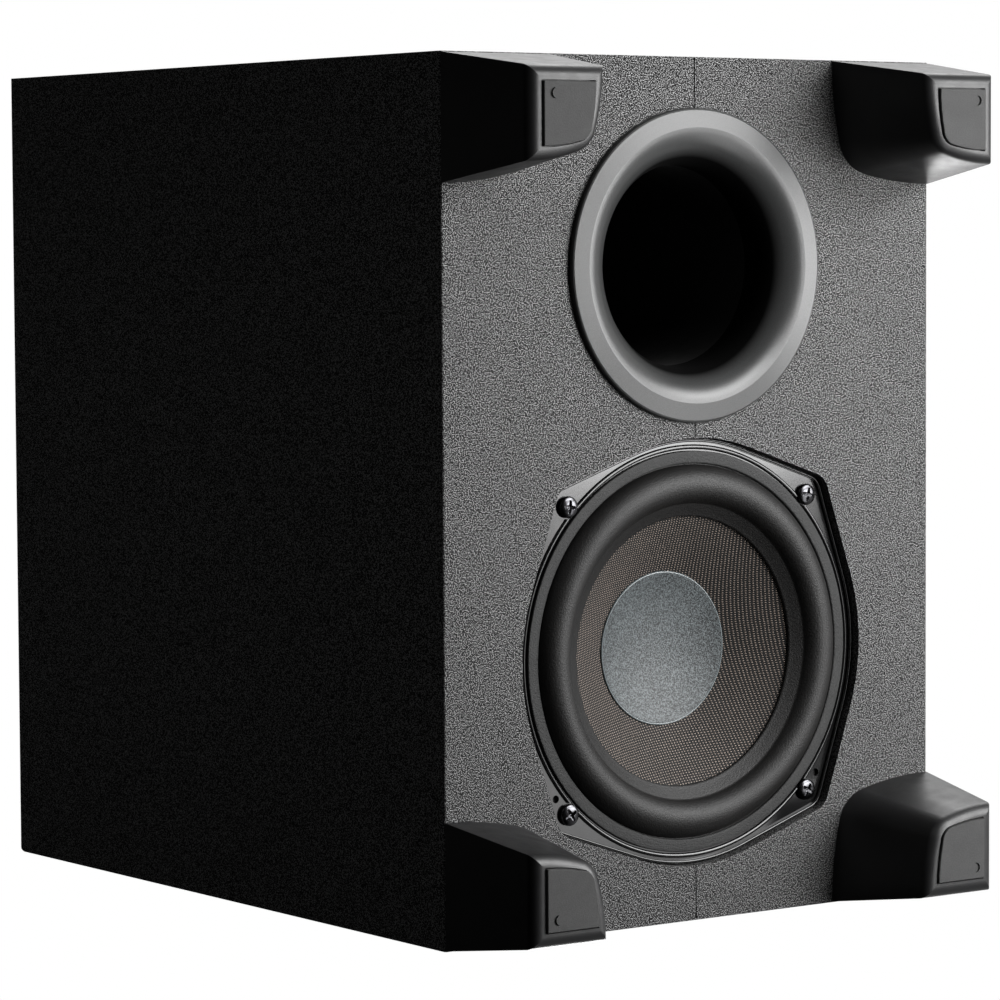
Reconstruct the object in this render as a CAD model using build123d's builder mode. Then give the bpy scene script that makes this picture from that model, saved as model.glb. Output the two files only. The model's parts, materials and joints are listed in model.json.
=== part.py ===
from build123d import *
import math
import os

os.makedirs("parts", exist_ok=True)

# Down-firing ported subwoofer. Origin at the middle of the footprint on the floor, +Z up.
# -Y is the front (driver end), +Y the rear (port and amplifier end), +X the right-hand side panel.

# ---------------------------------------------------------------- cabinet sizes, mm
body_width = 221.5
body_depth = 310.0
body_height = 299.0
foot_height = 43.5
pad_proud = 1.0
board = 15.0
baffle_board = 18.0
base_z = foot_height + pad_proud
top_z = base_z + body_height
half_width = body_width / 2
half_depth = body_depth / 2
inner_x = half_width - board
inner_y = half_depth - board
floor_z = base_z + baffle_board
ceiling_z = top_z - board
front_top_radius = 5.0
top_edge_radius = 2.5
base_edge_radius = 0.9
seam_width = 0.45
seam_depth = 0.35
glue_gap = 0.05

# ---------------------------------------------------------------- driver sizes, mm
driver_y = -58.0
screw_spacing = 109.0
frame_radius = 76.6
ear_radius = 7.4
frame_clearance = 0.6
rebate_depth = 6.5
frame_front = 4.2
frame_plate = 1.5
lip_width = 1.1
lip_height = 0.8
bead_centre_radius = 73.8
bead_radius = 0.9
gasket_inner_radius = 67.8
gasket_outer_radius = 72.4
gasket_front = 3.0
driver_cutout_radius = 70.0
locating_hole_radius = 1.4
locating_hole_x = 59.8
locating_hole_y = 48.6
cone_slope = 0.6
cap_radius = 28.1
cap_depth = 19.2
cone_front_at_cap = 19.6
cone_thickness = 0.9
cone_edge_radius = 53.4
land_inner_radius = 48.7
land_thickness = 0.55
former_inner_radius = 18.7
former_outer_radius = 19.1
coil_outer_radius = 20.0
pole_radius = 18.2
top_plate_hole = 20.7
top_plate_radius = 43.0
magnet_radius = 45.0
magnet_hole = 24.0

# ---------------------------------------------------------------- port sizes, mm
port_y = 80.8
port_bore = 36.0
port_flange_radius = 56.1
port_mouth_radius = 49.2
port_proud = 2.85
port_edge = 2.1
flare_radius = 15.3
flare_start = math.radians(8)
port_hole_radius = 46.0
tube_wall = 2.2
tube_start = 16.0
socket_length = 12.0
tube_end = 135.0
socket_radius = port_bore + tube_wall + glue_gap
collar_radius = socket_radius + 2.6

# ---------------------------------------------------------------- rear amplifier sizes, mm
plate_width = 168.0
plate_height = 88.0
plate_thickness = 2.4
plate_set_back = 2.0
plate_corner = 5.0
plate_z = base_z + 232.0
cutout_width = 144.0
cutout_height = 64.0
plate_outer_y = half_depth - plate_set_back
plate_inner_y = plate_outer_y - plate_thickness
standoff_height = 16.0
pcb_thickness = 1.6
pcb_width = 136.0
pcb_height = 57.0
pcb_outer_y = plate_inner_y - standoff_height
pcb_inner_y = pcb_outer_y - pcb_thickness
seal_thickness = 1.2
inlet_x = 44.0
inlet_z = plate_z - 12.0
pin_spacing = 8.6
pin_radius = 1.19
button_x = -40.0
button_z = plate_z - 12.0
button_radius = 3.4
button_travel = 0.6
led_x = -40.0
led_z = plate_z + 6.0
led_radius = 1.5


def axial_plane(y0):
    """Half-section plane through a vertical axis at y0: local x is the radius and local y is Z."""
    return Plane(origin=(0, y0, 0), x_dir=(1, 0, 0), z_dir=(0, -1, 0))


def vertical_axis(y0):
    return Axis((0, y0, 0), (0, 0, 1))


def lift(points):
    """Radius and height above the baffle's underside, as points of the half section."""
    return [(radius, base_z + up) for radius, up in points]


def rear_plane(y0):
    """Vertical plane facing the rear at y0: local x is -X and local y is Z."""
    return Plane(origin=(0, y0, 0), x_dir=(-1, 0, 0), z_dir=(0, 1, 0))


def turned(points, y0):
    """Solid of revolution about the vertical axis at y0."""
    with BuildPart() as piece:
        with BuildSketch(axial_plane(y0)):
            with BuildLine():
                Polyline(lift(points), close=True)
            make_face()
        revolve(axis=vertical_axis(y0))
    return piece.part


def save(part, name):
    part.label = name
    export_step(part, f"parts/{name}.step")


# ---------------------------------------------------------------- cabinet envelope and panels
with BuildPart() as envelope:
    with BuildSketch(Plane.XY.offset(base_z)):
        Rectangle(body_width, body_depth)
    extrude(amount=body_height)
    long_edges = envelope.edges().filter_by(Axis.Y)
    fillet(long_edges.group_by(Axis.Z)[-1], radius=top_edge_radius)
    fillet(long_edges.group_by(Axis.Z)[0], radius=base_edge_radius)

with BuildPart() as front_round:
    with BuildSketch(Plane.YZ):
        with BuildLine():
            Polyline(
                (-half_depth, base_z),
                (half_depth, base_z),
                (half_depth, top_z),
                (-half_depth + front_top_radius, top_z),
            )
            RadiusArc(
                (-half_depth + front_top_radius, top_z),
                (-half_depth, top_z - front_top_radius),
                -front_top_radius,
            )
            Line((-half_depth, top_z - front_top_radius), (-half_depth, base_z))
        make_face()
    extrude(amount=body_width, both=True)


def mitred_panel(corners):
    """One board of the folded wrap: its mitred section run the full depth, trimmed to the rounded outside."""
    with BuildPart() as panel:
        with BuildSketch(Plane.XZ):
            with BuildLine():
                Polyline(corners, close=True)
            make_face()
        extrude(amount=half_depth, both=True)
        add(envelope.part, mode=Mode.INTERSECT)
        add(front_round.part, mode=Mode.INTERSECT)
    return panel.part


side_corners = [
    (half_width, base_z),
    (half_width, top_z),
    (inner_x, ceiling_z),
    (inner_x, floor_z),
]
save(mitred_panel(side_corners), "right_side_panel")
save(mitred_panel([(-x, z) for x, z in side_corners]), "left_side_panel")
save(
    mitred_panel(
        [
            (-half_width, top_z),
            (half_width, top_z),
            (inner_x, ceiling_z),
            (-inner_x, ceiling_z),
        ]
    ),
    "top_panel",
)

screw_points = [
    (sx * screw_spacing / 2, driver_y + sy * screw_spacing / 2)
    for sx in (-1, 1)
    for sy in (-1, 1)
]
foot_screw_x = 88.0
foot_screw_y = 132.5
foot_screw_points = [
    (sx * foot_screw_x, sy * foot_screw_y) for sx in (-1, 1) for sy in (-1, 1)
]
driver_shank_radius = 1.9
driver_screw_reach = 12.5
screw_head_radius = 3.9
screw_head_height = 2.3
foot_shank_radius = 2.0
foot_screw_reach = 40.0


def frame_outline(grow):
    """Round frame drawn out to four screw ears, as the hull of its circles."""
    with BuildSketch() as outline:
        with BuildLine():
            with Locations((0, driver_y)):
                CenterArc((0, driver_y), frame_radius + grow, 0, 360)
            for point in screw_points:
                CenterArc(point, ear_radius + grow, 0, 360)
        make_hull()
    return outline.sketch


with BuildPart() as bottom_baffle:
    with BuildSketch(Plane.XZ):
        with BuildLine():
            Polyline(
                (-half_width, base_z),
                (half_width, base_z),
                (inner_x, floor_z),
                (-inner_x, floor_z),
                close=True,
            )
        make_face()
    extrude(amount=half_depth, both=True)
    add(envelope.part, mode=Mode.INTERSECT)
    with BuildSketch(Plane.XY.offset(base_z)):
        Rectangle(seam_width, body_depth)
    extrude(amount=seam_depth, mode=Mode.SUBTRACT)
    with BuildSketch(Plane.XY.offset(base_z)):
        add(frame_outline(frame_clearance))
    extrude(amount=rebate_depth, mode=Mode.SUBTRACT)
    with BuildSketch(Plane.XY.offset(base_z)):
        with Locations((0, driver_y)):
            Circle(driver_cutout_radius)
        with Locations((0, port_y)):
            Circle(port_hole_radius)
        with Locations(*foot_screw_points):
            Circle(foot_shank_radius + glue_gap)
    extrude(amount=baffle_board, mode=Mode.SUBTRACT)
    with BuildSketch(Plane.XY.offset(base_z)):
        with Locations(*screw_points):
            Circle(driver_shank_radius + glue_gap)
    extrude(amount=frame_front + driver_screw_reach + 1, mode=Mode.SUBTRACT)
save(bottom_baffle.part, "bottom_baffle")

panel_edge_break = 0.6
with BuildPart() as front_panel:
    with BuildSketch(Plane.XY.offset(floor_z)):
        with Locations((0, -half_depth + board / 2)):
            Rectangle(2 * inner_x, board)
    extrude(amount=ceiling_z - floor_z)
    chamfer(
        front_panel.faces().sort_by(Axis.Y)[0].edges(),
        length=panel_edge_break,
    )
save(front_panel.part, "front_panel")

plate_screw_points = [
    (x, plate_z + side * (plate_height / 2 - 6.0))
    for x in (-plate_width / 2 + 6.0, 0.0, plate_width / 2 - 6.0)
    for side in (-1, 1)
]
plate_shank_radius = 1.5
plate_screw_reach = 13.0

with BuildPart() as rear_panel:
    with BuildSketch(Plane.XY.offset(floor_z)):
        with Locations((0, half_depth - board / 2)):
            Rectangle(2 * inner_x, board)
    extrude(amount=ceiling_z - floor_z)
    chamfer(
        rear_panel.faces().sort_by(Axis.Y)[-1].edges(),
        length=panel_edge_break,
    )
    with BuildSketch(rear_plane(half_depth)):
        with Locations((0, plate_z)):
            RectangleRounded(
                plate_width + 1.0, plate_height + 1.0, plate_corner + 0.5
            )
    extrude(
        amount=-(plate_set_back + plate_thickness + seal_thickness),
        mode=Mode.SUBTRACT,
    )
    with BuildSketch(rear_plane(half_depth)):
        with Locations((0, plate_z)):
            RectangleRounded(cutout_width, cutout_height, 4.0)
    extrude(amount=-board, mode=Mode.SUBTRACT)
    with BuildSketch(rear_plane(half_depth)):
        with Locations(*[(-x, z) for x, z in plate_screw_points]):
            Circle(plate_shank_radius + glue_gap)
    extrude(amount=-board, mode=Mode.SUBTRACT)
save(rear_panel.part, "rear_panel")

block_side = 25.0
block_height = 30.0
with BuildPart() as corner_blocks:
    with BuildSketch(Plane.XY.offset(floor_z)):
        for sx in (-1, 1):
            for sy in (-1, 1):
                with Locations(
                    (sx * (inner_x - block_side / 2), sy * (inner_y - block_side / 2))
                ):
                    Rectangle(block_side, block_side)
        with Locations(*foot_screw_points):
            Circle(foot_shank_radius + glue_gap, mode=Mode.SUBTRACT)
    extrude(amount=block_height)
save(corner_blocks.part, "corner_blocks")

# ---------------------------------------------------------------- feet
# Each row: height below the baffle, outer X, outer Y, inner X, inner Y, bow radius, corner radius.
foot_sections = [
    (0.0, 110.5, 154.75, 64.3, 110.1, 130.0, 15.0),
    (foot_height, 104.4, 148.8, 72.8, 117.3, 71.0, 10.0),
]
foot_roll_radius = 4.2
recess_outer_x = 99.8
recess_outer_y = 144.1
recess_inner_x = 77.0
recess_inner_y = 121.4
recess_bow = 67.0
recess_corner = 6.0
pad_recess = 1.6
pad_gap = 0.4
dimple_inset = 4.5
dimple_radius = 1.8
dimple_island_radius = 1.7
dimple_shift = 1.1
dimple_depth = 0.6
counterbore_radius = 5.0
foot_web = 9.0


def corner_outline(outer_x, outer_y, inner_x_, inner_y_, bow, radius, sx, sy):
    """Foot outline whose two inner sides bow into a round corner, in the quadrant of the signs."""
    side_x = inner_x_ + bow
    side_y = inner_y_ + bow
    middle_x = (side_x + outer_x) / 2
    middle_y = (outer_y + side_y) / 2
    half = math.hypot(side_x - outer_x, side_y - outer_y) / 2
    reach = math.sqrt((bow - radius) ** 2 - half**2)
    corner_x = middle_x - reach * (side_y - outer_y) / (2 * half)
    corner_y = middle_y - reach * (side_x - outer_x) / (2 * half)

    def meet(centre_x, centre_y):
        """Where the bowed side of that centre runs into the round corner."""
        along = bow / math.hypot(corner_x - centre_x, corner_y - centre_y)
        return (
            centre_x + (corner_x - centre_x) * along,
            centre_y + (corner_y - centre_y) * along,
        )

    def on_arc(centre_x, centre_y, arc_radius, start, end):
        """Middle of the arc between two of its points."""
        x = (start[0] + end[0]) / 2 - centre_x
        y = (start[1] + end[1]) / 2 - centre_y
        stretch = arc_radius / math.hypot(x, y)
        return (centre_x + x * stretch, centre_y + y * stretch)

    def mirrored(*points):
        return [(sx * x, sy * y) for x, y in points]

    first = (inner_x_, outer_y)
    last = (outer_x, inner_y_)
    first_meet = meet(side_x, outer_y)
    last_meet = meet(outer_x, side_y)
    first_middle = on_arc(side_x, outer_y, bow, first, first_meet)
    last_middle = on_arc(outer_x, side_y, bow, last_meet, last)
    corner_middle = on_arc(corner_x, corner_y, radius, first_meet, last_meet)
    with BuildSketch() as outline:
        with BuildLine():
            Polyline(*mirrored(last, (outer_x, outer_y), first))
            ThreePointArc(*mirrored(first, first_middle, first_meet))
            ThreePointArc(*mirrored(first_meet, corner_middle, last_meet))
            ThreePointArc(*mirrored(last_meet, last_middle, last))
        make_face()
    return outline.sketch


def recess_outline(shrink, sx, sy):
    return corner_outline(
        recess_outer_x - shrink,
        recess_outer_y - shrink,
        recess_inner_x + shrink,
        recess_inner_y + shrink,
        recess_bow - shrink,
        recess_corner - shrink,
        sx,
        sy,
    )


def foot(sx, sy):
    """Tapered corner foot with a rolled rim, a pad recess and a deep screw counterbore."""
    with BuildPart() as piece:
        for down, *section in foot_sections:
            with BuildSketch(Plane.XY.offset(base_z - down)):
                add(corner_outline(*section, sx, sy))
        loft(ruled=True)
        fillet(piece.faces().sort_by(Axis.Z)[0].edges(), radius=foot_roll_radius)
        with BuildSketch(Plane.XY.offset(pad_proud)):
            add(recess_outline(0, sx, sy))
        extrude(amount=pad_recess, mode=Mode.SUBTRACT)
        with BuildSketch(Plane.XY.offset(pad_proud)):
            with Locations((sx * foot_screw_x, sy * foot_screw_y)):
                Circle(counterbore_radius)
        extrude(amount=foot_height - foot_web, mode=Mode.SUBTRACT)
        with BuildSketch(Plane.XY.offset(pad_proud)):
            with Locations((sx * foot_screw_x, sy * foot_screw_y)):
                Circle(foot_shank_radius + glue_gap)
        extrude(amount=foot_height, mode=Mode.SUBTRACT)
    return piece.part


foot_names = {
    (-1, -1): "front_left_foot",
    (1, -1): "front_right_foot",
    (-1, 1): "rear_left_foot",
    (1, 1): "rear_right_foot",
}
for (sign_x, sign_y), foot_name in foot_names.items():
    save(foot(sign_x, sign_y), foot_name)

with BuildPart() as foot_pads:
    for sign_x, sign_y in foot_names:
        with BuildSketch():
            add(recess_outline(pad_gap, sign_x, sign_y))
    extrude(amount=pad_proud + pad_recess)
    fillet(foot_pads.faces().group_by(Axis.Z)[0].edges(), radius=0.35)
    with BuildSketch():
        for sign_x, sign_y in foot_names:
            dimple_x = recess_outer_x - dimple_inset
            dimple_y = sign_y * (recess_outer_y - dimple_inset)
            with Locations((sign_x * dimple_x, dimple_y)):
                Circle(dimple_radius)
            with Locations((sign_x * (dimple_x - dimple_shift), dimple_y)):
                Circle(dimple_island_radius, mode=Mode.SUBTRACT)
    extrude(amount=dimple_depth, mode=Mode.SUBTRACT)
save(foot_pads.part, "foot_pads")


def pan_screw(head_radius, head_height, shank_radius, reach):
    """Cross-recessed pan-head screw: head below z=0, shank above, pointed tip."""
    dome = head_height * 0.45
    slot_width = head_radius * 0.24
    with BuildPart() as screw:
        with BuildSketch(Plane.XZ):
            with BuildLine():
                Line((0, -head_height), (0, reach))
                Line((0, reach), (shank_radius, reach - 1.6 * shank_radius))
                Line((shank_radius, reach - 1.6 * shank_radius), (shank_radius, 0))
                Line((shank_radius, 0), (head_radius, 0))
                Line((head_radius, 0), (head_radius, -(head_height - dome)))
                ThreePointArc(
                    (head_radius, -(head_height - dome)),
                    (head_radius * 0.78, -(head_height - 0.34 * dome)),
                    (head_radius * 0.3, -head_height),
                )
                Line((head_radius * 0.3, -head_height), (0, -head_height))
            make_face()
        revolve(axis=Axis.Z)
        with BuildSketch(Plane.XY.offset(-head_height)):
            Rectangle(head_radius * 1.15, slot_width)
            Rectangle(slot_width, head_radius * 1.15)
            Circle(head_radius * 0.2)
        extrude(amount=head_height * 0.62, mode=Mode.SUBTRACT)
    return screw.part


foot_screw = pan_screw(4.2, 3.0, foot_shank_radius, foot_screw_reach)
with BuildPart() as foot_screws:
    with Locations(*[(x, y, base_z - foot_web) for x, y in foot_screw_points]):
        add(foot_screw)
save(foot_screws.part, "foot_screws")

# ---------------------------------------------------------------- port
throat_up = -port_proud + flare_radius * math.cos(flare_start)
flare_middle = math.radians(49)


def flare_point(angle):
    """Point of the mouth flare where its tangent has turned by the angle from the flange face."""
    radius = port_mouth_radius - flare_radius * (math.sin(angle) - math.sin(flare_start))
    up = -port_proud + flare_radius * (math.cos(flare_start) - math.cos(angle))
    return (radius, base_z + up)


throat_radius = flare_point(math.radians(90))[0]
with BuildPart() as port_flange:
    with BuildSketch(axial_plane(port_y)):
        with BuildLine():
            ThreePointArc(
                (port_mouth_radius, base_z - port_proud),
                flare_point(flare_middle),
                (throat_radius, base_z + throat_up),
            )
            Polyline(
                lift(
                    [
                        (throat_radius, throat_up),
                        (throat_radius, tube_start),
                        (socket_radius, tube_start),
                        (socket_radius, tube_start + socket_length),
                        (collar_radius, tube_start + socket_length),
                        (collar_radius, 9.0),
                        (port_hole_radius - 0.3, 0),
                        (port_flange_radius, 0),
                        (port_flange_radius, -port_edge + 0.7),
                        (port_flange_radius - 0.25, -port_edge + 0.2),
                        (port_flange_radius - 0.8, -port_edge - 0.05),
                        (port_mouth_radius, -port_proud),
                    ]
                )
            )
        make_face()
    revolve(axis=vertical_axis(port_y))
save(port_flange.part, "port_flange")

save(
    turned(
        [
            (throat_radius, tube_start),
            (port_bore + tube_wall, tube_start),
            (port_bore + tube_wall, tube_end),
            (throat_radius, tube_end),
        ],
        port_y,
    ),
    "port_tube",
)

inner_flare_radius = 10.0
inner_flare_start = tube_end + 3.0
flare_wall = 2.2
with BuildPart() as port_inner_flare:
    with BuildSketch(axial_plane(port_y)):
        with BuildLine():
            ThreePointArc(
                (throat_radius, base_z + inner_flare_start),
                (
                    throat_radius + inner_flare_radius * (1 - math.sqrt(0.5)),
                    base_z + inner_flare_start + inner_flare_radius * math.sqrt(0.5),
                ),
                (
                    throat_radius + inner_flare_radius,
                    base_z + inner_flare_start + inner_flare_radius,
                ),
            )
            Polyline(
                lift(
                    [
                        (
                            throat_radius + inner_flare_radius,
                            inner_flare_start + inner_flare_radius,
                        ),
                        (
                            throat_radius + inner_flare_radius,
                            inner_flare_start + inner_flare_radius - flare_wall,
                        ),
                        (
                            collar_radius + 1.2,
                            inner_flare_start + inner_flare_radius - 2.6 * flare_wall,
                        ),
                        (collar_radius, inner_flare_start - 1.0),
                        (collar_radius, tube_end - socket_length),
                        (socket_radius, tube_end - socket_length),
                        (socket_radius, tube_end),
                        (throat_radius, tube_end),
                        (throat_radius, inner_flare_start),
                    ]
                )
            )
        make_face()
    revolve(axis=vertical_axis(port_y))
save(port_inner_flare.part, "port_inner_flare")

# ---------------------------------------------------------------- driver: fixed parts
basket_plate = 1.4
shoulder_up = 31.0
basket_floor_up = 46.0
seat_recess = 0.6
window_count = 6
frame_back = frame_front + frame_plate
driver_axis = vertical_axis(driver_y)

with BuildPart() as driver_basket:
    with BuildSketch(Plane.XY.offset(base_z + frame_front)):
        add(frame_outline(0))
    extrude(amount=frame_plate)
    with BuildSketch(Plane.XY.offset(base_z + frame_front - lip_height)):
        add(frame_outline(0))
        add(frame_outline(-lip_width), mode=Mode.SUBTRACT)
    extrude(amount=lip_height)
    with BuildSketch(Plane.XY.offset(base_z + frame_front - lip_height)):
        with Locations((0, driver_y)):
            Circle(66.0)
    extrude(amount=lip_height + frame_plate, mode=Mode.SUBTRACT)
    with BuildSketch(Plane.XY.offset(base_z + frame_front)):
        with Locations((0, driver_y)):
            Circle(gasket_outer_radius + 0.2)
            Circle(60.0, mode=Mode.SUBTRACT)
    extrude(amount=seat_recess, mode=Mode.SUBTRACT)
    with BuildSketch(axial_plane(driver_y)):
        with Locations((bead_centre_radius, base_z + frame_front + 0.1)):
            Circle(bead_radius)
    revolve(axis=driver_axis)
    with BuildSketch(Plane.XY.offset(base_z + frame_front - bead_radius)):
        with Locations(*screw_points):
            Circle(screw_head_radius + 0.3)
    extrude(amount=bead_radius, mode=Mode.SUBTRACT)
    with BuildSketch(axial_plane(driver_y)):
        with BuildLine():
            Polyline(
                lift(
                    [
                        (66.0, frame_front + seat_recess),
                        (66.0, 9.5),
                        (44.5, shoulder_up),
                        (38.0, shoulder_up),
                        (38.0, basket_floor_up - basket_plate),
                        (magnet_hole, basket_floor_up - basket_plate),
                        (magnet_hole, basket_floor_up),
                        (39.4, basket_floor_up),
                        (39.4, shoulder_up + basket_plate),
                        (45.1, shoulder_up + basket_plate),
                        (67.4, 10.1),
                        (67.4, frame_front + seat_recess),
                    ]
                ),
                close=True,
            )
        make_face()
    revolve(axis=driver_axis)
    with Locations((0, driver_y, base_z + 20.5)):
        with PolarLocations(56.0, window_count):
            Box(24.0, 38.0, 13.5, mode=Mode.SUBTRACT)
    with BuildSketch(Plane.XY.offset(base_z + frame_front)):
        with Locations(*screw_points):
            Circle(2.4)
        with Locations(
            (locating_hole_x, driver_y - locating_hole_y),
            (-locating_hole_x, driver_y - locating_hole_y),
        ):
            Circle(locating_hole_radius)
    extrude(amount=frame_plate, mode=Mode.SUBTRACT)
save(driver_basket.part, "driver_basket")

with BuildPart() as frame_seal:
    with BuildSketch(Plane.XY.offset(base_z + frame_back)):
        add(frame_outline(-0.8))
        with Locations((0, driver_y)):
            Circle(driver_cutout_radius + 0.4, mode=Mode.SUBTRACT)
        with Locations(*screw_points):
            Circle(2.6, mode=Mode.SUBTRACT)
    extrude(amount=rebate_depth - frame_back)
save(frame_seal.part, "frame_seal")

with BuildPart() as gasket_ring:
    with BuildSketch(axial_plane(driver_y)):
        with BuildLine():
            Polyline(
                lift(
                    [
                        (gasket_inner_radius, frame_front - 0.02),
                        (gasket_outer_radius, frame_front - 0.02),
                        (gasket_outer_radius, gasket_front + 0.25),
                        (gasket_outer_radius - 0.3, gasket_front),
                        (gasket_inner_radius + 0.6, gasket_front),
                        (gasket_inner_radius, gasket_front + 0.5),
                    ]
                ),
                close=True,
            )
        make_face()
    revolve(axis=driver_axis)
save(gasket_ring.part, "gasket_ring")

save(
    turned(
        [
            (top_plate_hole, 46.0),
            (top_plate_radius, 46.0),
            (top_plate_radius, 51.0),
            (top_plate_hole, 51.0),
        ],
        driver_y,
    ),
    "top_plate",
)
save(
    turned(
        [
            (magnet_hole, 51.0),
            (magnet_radius - 0.8, 51.0),
            (magnet_radius, 51.8),
            (magnet_radius, 65.2),
            (magnet_radius - 0.8, 66.0),
            (magnet_hole, 66.0),
        ],
        driver_y,
    ),
    "ferrite_magnet",
)
save(
    turned(
        [
            (5.0, 44.5),
            (pole_radius - 0.6, 44.5),
            (pole_radius, 45.1),
            (pole_radius, 66.0),
            (top_plate_radius, 66.0),
            (top_plate_radius, 70.2),
            (top_plate_radius - 0.8, 71.0),
            (5.0, 71.0),
        ],
        driver_y,
    ),
    "t_yoke",
)

driver_screw = pan_screw(
    screw_head_radius, screw_head_height, driver_shank_radius, driver_screw_reach
)
with BuildPart() as driver_screws:
    with Locations(*[(x, y, base_z + frame_front) for x, y in screw_points]):
        add(driver_screw)
save(driver_screws.part, "driver_screws")

terminal_x = -42.8
with BuildPart() as terminal_strip:
    with Locations((terminal_x, driver_y, base_z + shoulder_up + basket_plate + 6.2)):
        Box(1.6, 24.0, 12.4)
save(terminal_strip.part, "terminal_strip")

with BuildPart() as terminal_tabs:
    with Locations(
        (terminal_x - 0.8 - 4.0, driver_y - 6.5, base_z + 39.0),
        (terminal_x - 0.8 - 4.0, driver_y + 6.5, base_z + 39.0),
    ):
        Box(8.0, 4.8, 0.8)
save(terminal_tabs.part, "terminal_tabs")

# ---------------------------------------------------------------- driver: moving and flexing parts


def cone_front(radius):
    """Height of the cone's front face above the baffle's underside at a radius."""
    return cone_front_at_cap + (cap_radius - radius) * cone_slope


neck_radius = former_outer_radius + glue_gap
save(
    turned(
        [
            (neck_radius, cone_front(neck_radius)),
            (cone_edge_radius, cone_front(cone_edge_radius)),
            (cone_edge_radius, cone_front(cone_edge_radius) + cone_thickness),
            (neck_radius, cone_front(neck_radius) + cone_thickness),
        ],
        driver_y,
    ),
    "cone",
)

dish_depth = 4.6
cap_thickness = 0.7
cap_rim_width = 0.7
dish_edge = cap_radius - cap_rim_width
dish_back_edge = dish_edge - 1.2
dish_sphere = (dish_edge**2 + dish_depth**2) / (2 * dish_depth)
dish_centre = cap_depth + dish_depth - dish_sphere


def dish_point(radius, thickness):
    """Point on the inverted dust cap's spherical front face, or on its back when a thickness is given."""
    return (radius, base_z + dish_centre + math.sqrt((dish_sphere + thickness) ** 2 - radius**2))


with BuildPart() as dust_cap:
    with BuildSketch(axial_plane(driver_y)):
        with BuildLine():
            Line(dish_point(0, 0), dish_point(0, cap_thickness))
            ThreePointArc(
                dish_point(0, cap_thickness),
                dish_point(dish_back_edge / 2, cap_thickness),
                dish_point(dish_back_edge, cap_thickness),
            )
            Polyline(
                dish_point(dish_back_edge, cap_thickness),
                (cap_radius, base_z + cone_front(cap_radius) - 0.1),
                (cap_radius - 0.3, base_z + cap_depth - 0.15),
                dish_point(dish_edge, 0),
            )
            ThreePointArc(
                dish_point(dish_edge, 0),
                dish_point(dish_edge / 2, 0),
                dish_point(0, 0),
            )
        make_face()
    revolve(axis=driver_axis)
save(dust_cap.part, "dust_cap")

former_start = cone_front(neck_radius) - 0.4
save(
    turned(
        [
            (former_inner_radius, former_start),
            (former_outer_radius, former_start),
            (former_outer_radius, 57.5),
            (former_inner_radius, 57.5),
        ],
        driver_y,
    ),
    "voice_coil_former",
)
save(
    turned(
        [
            (former_outer_radius, 41.0),
            (coil_outer_radius, 41.0),
            (coil_outer_radius, 56.5),
            (former_outer_radius, 56.5),
        ],
        driver_y,
    ),
    "voice_coil_winding",
)

roll_outer_radius = 67.5
roll_inner_radius = 53.6
roll_height = 5.3
rubber = 0.6
roll_middle = (roll_outer_radius + roll_inner_radius) / 2
roll_foot = cone_front(roll_inner_radius) - land_thickness
with BuildPart() as surround:
    with BuildSketch(axial_plane(driver_y)):
        with BuildLine():
            Polyline(
                lift(
                    [
                        (roll_outer_radius, frame_front),
                        (gasket_outer_radius - 0.2, frame_front),
                        (gasket_outer_radius - 0.2, frame_front + rubber),
                        (roll_outer_radius - 0.5, frame_front + rubber),
                    ]
                )
            )
            ThreePointArc(
                (roll_outer_radius - 0.5, base_z + frame_front + rubber),
                (roll_middle, base_z + frame_front - roll_height + rubber),
                (roll_inner_radius + 0.4, base_z + roll_foot + land_thickness - 0.25),
            )
            Polyline(
                lift(
                    [
                        (roll_inner_radius + 0.4, roll_foot + land_thickness - 0.25),
                        (land_inner_radius, cone_front(land_inner_radius) - 0.03),
                        (
                            land_inner_radius,
                            cone_front(land_inner_radius) - land_thickness,
                        ),
                        (roll_inner_radius, roll_foot),
                    ]
                )
            )
            ThreePointArc(
                (roll_inner_radius, base_z + roll_foot),
                (roll_middle, base_z + frame_front - roll_height),
                (roll_outer_radius, base_z + frame_front),
            )
        make_face()
    revolve(axis=driver_axis)
save(surround.part, "surround")

spider_up = shoulder_up - 0.3
spider_thickness = 0.5
spider_wave = 1.1
spider_pitch = 4.4
spider_inner = former_outer_radius + glue_gap
spider_flat_end = 39.0
spider_outer = 44.0


def spider_wave_at(radius):
    """Height of the corrugated centring disc's middle surface at a radius."""
    turns = (radius - spider_inner - 1.2) / spider_pitch
    if turns <= 0 or radius >= spider_flat_end:
        return spider_up - spider_thickness / 2
    fade = min(1.0, turns * 2, (spider_flat_end - radius) / 2.2)
    return (
        spider_up
        - spider_thickness / 2
        + fade * spider_wave * math.sin(2 * math.pi * turns)
    )


spider_steps = 40
spider_radii = [
    spider_inner + (spider_flat_end - spider_inner) * step / spider_steps
    for step in range(spider_steps + 1)
] + [spider_outer]
save(
    turned(
        [(r, spider_wave_at(r) - spider_thickness / 2) for r in spider_radii]
        + [(r, spider_wave_at(r) + spider_thickness / 2) for r in reversed(spider_radii)],
        driver_y,
    ),
    "spider",
)

lead_wire_radius = 0.6
with BuildPart() as tinsel_leads:
    for side in (-1, 1):
        with BuildLine() as lead_path:
            Spline(
                (-44.3, driver_y + side * 6.5, base_z + 35.5),
                (-52.0, driver_y + side * 7.5, base_z + 29.0),
                (-49.5, driver_y + side * 8.5, base_z + 20.5),
                (
                    -38.0,
                    driver_y + side * 8.5,
                    base_z + cone_front(math.hypot(38.0, 8.5)) + cone_thickness + 1.0,
                ),
            )
        with BuildSketch(Plane(lead_path.line @ 0, z_dir=lead_path.line % 0)):
            Circle(lead_wire_radius)
        sweep(path=lead_path.line)
save(tinsel_leads.part, "tinsel_leads")

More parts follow.
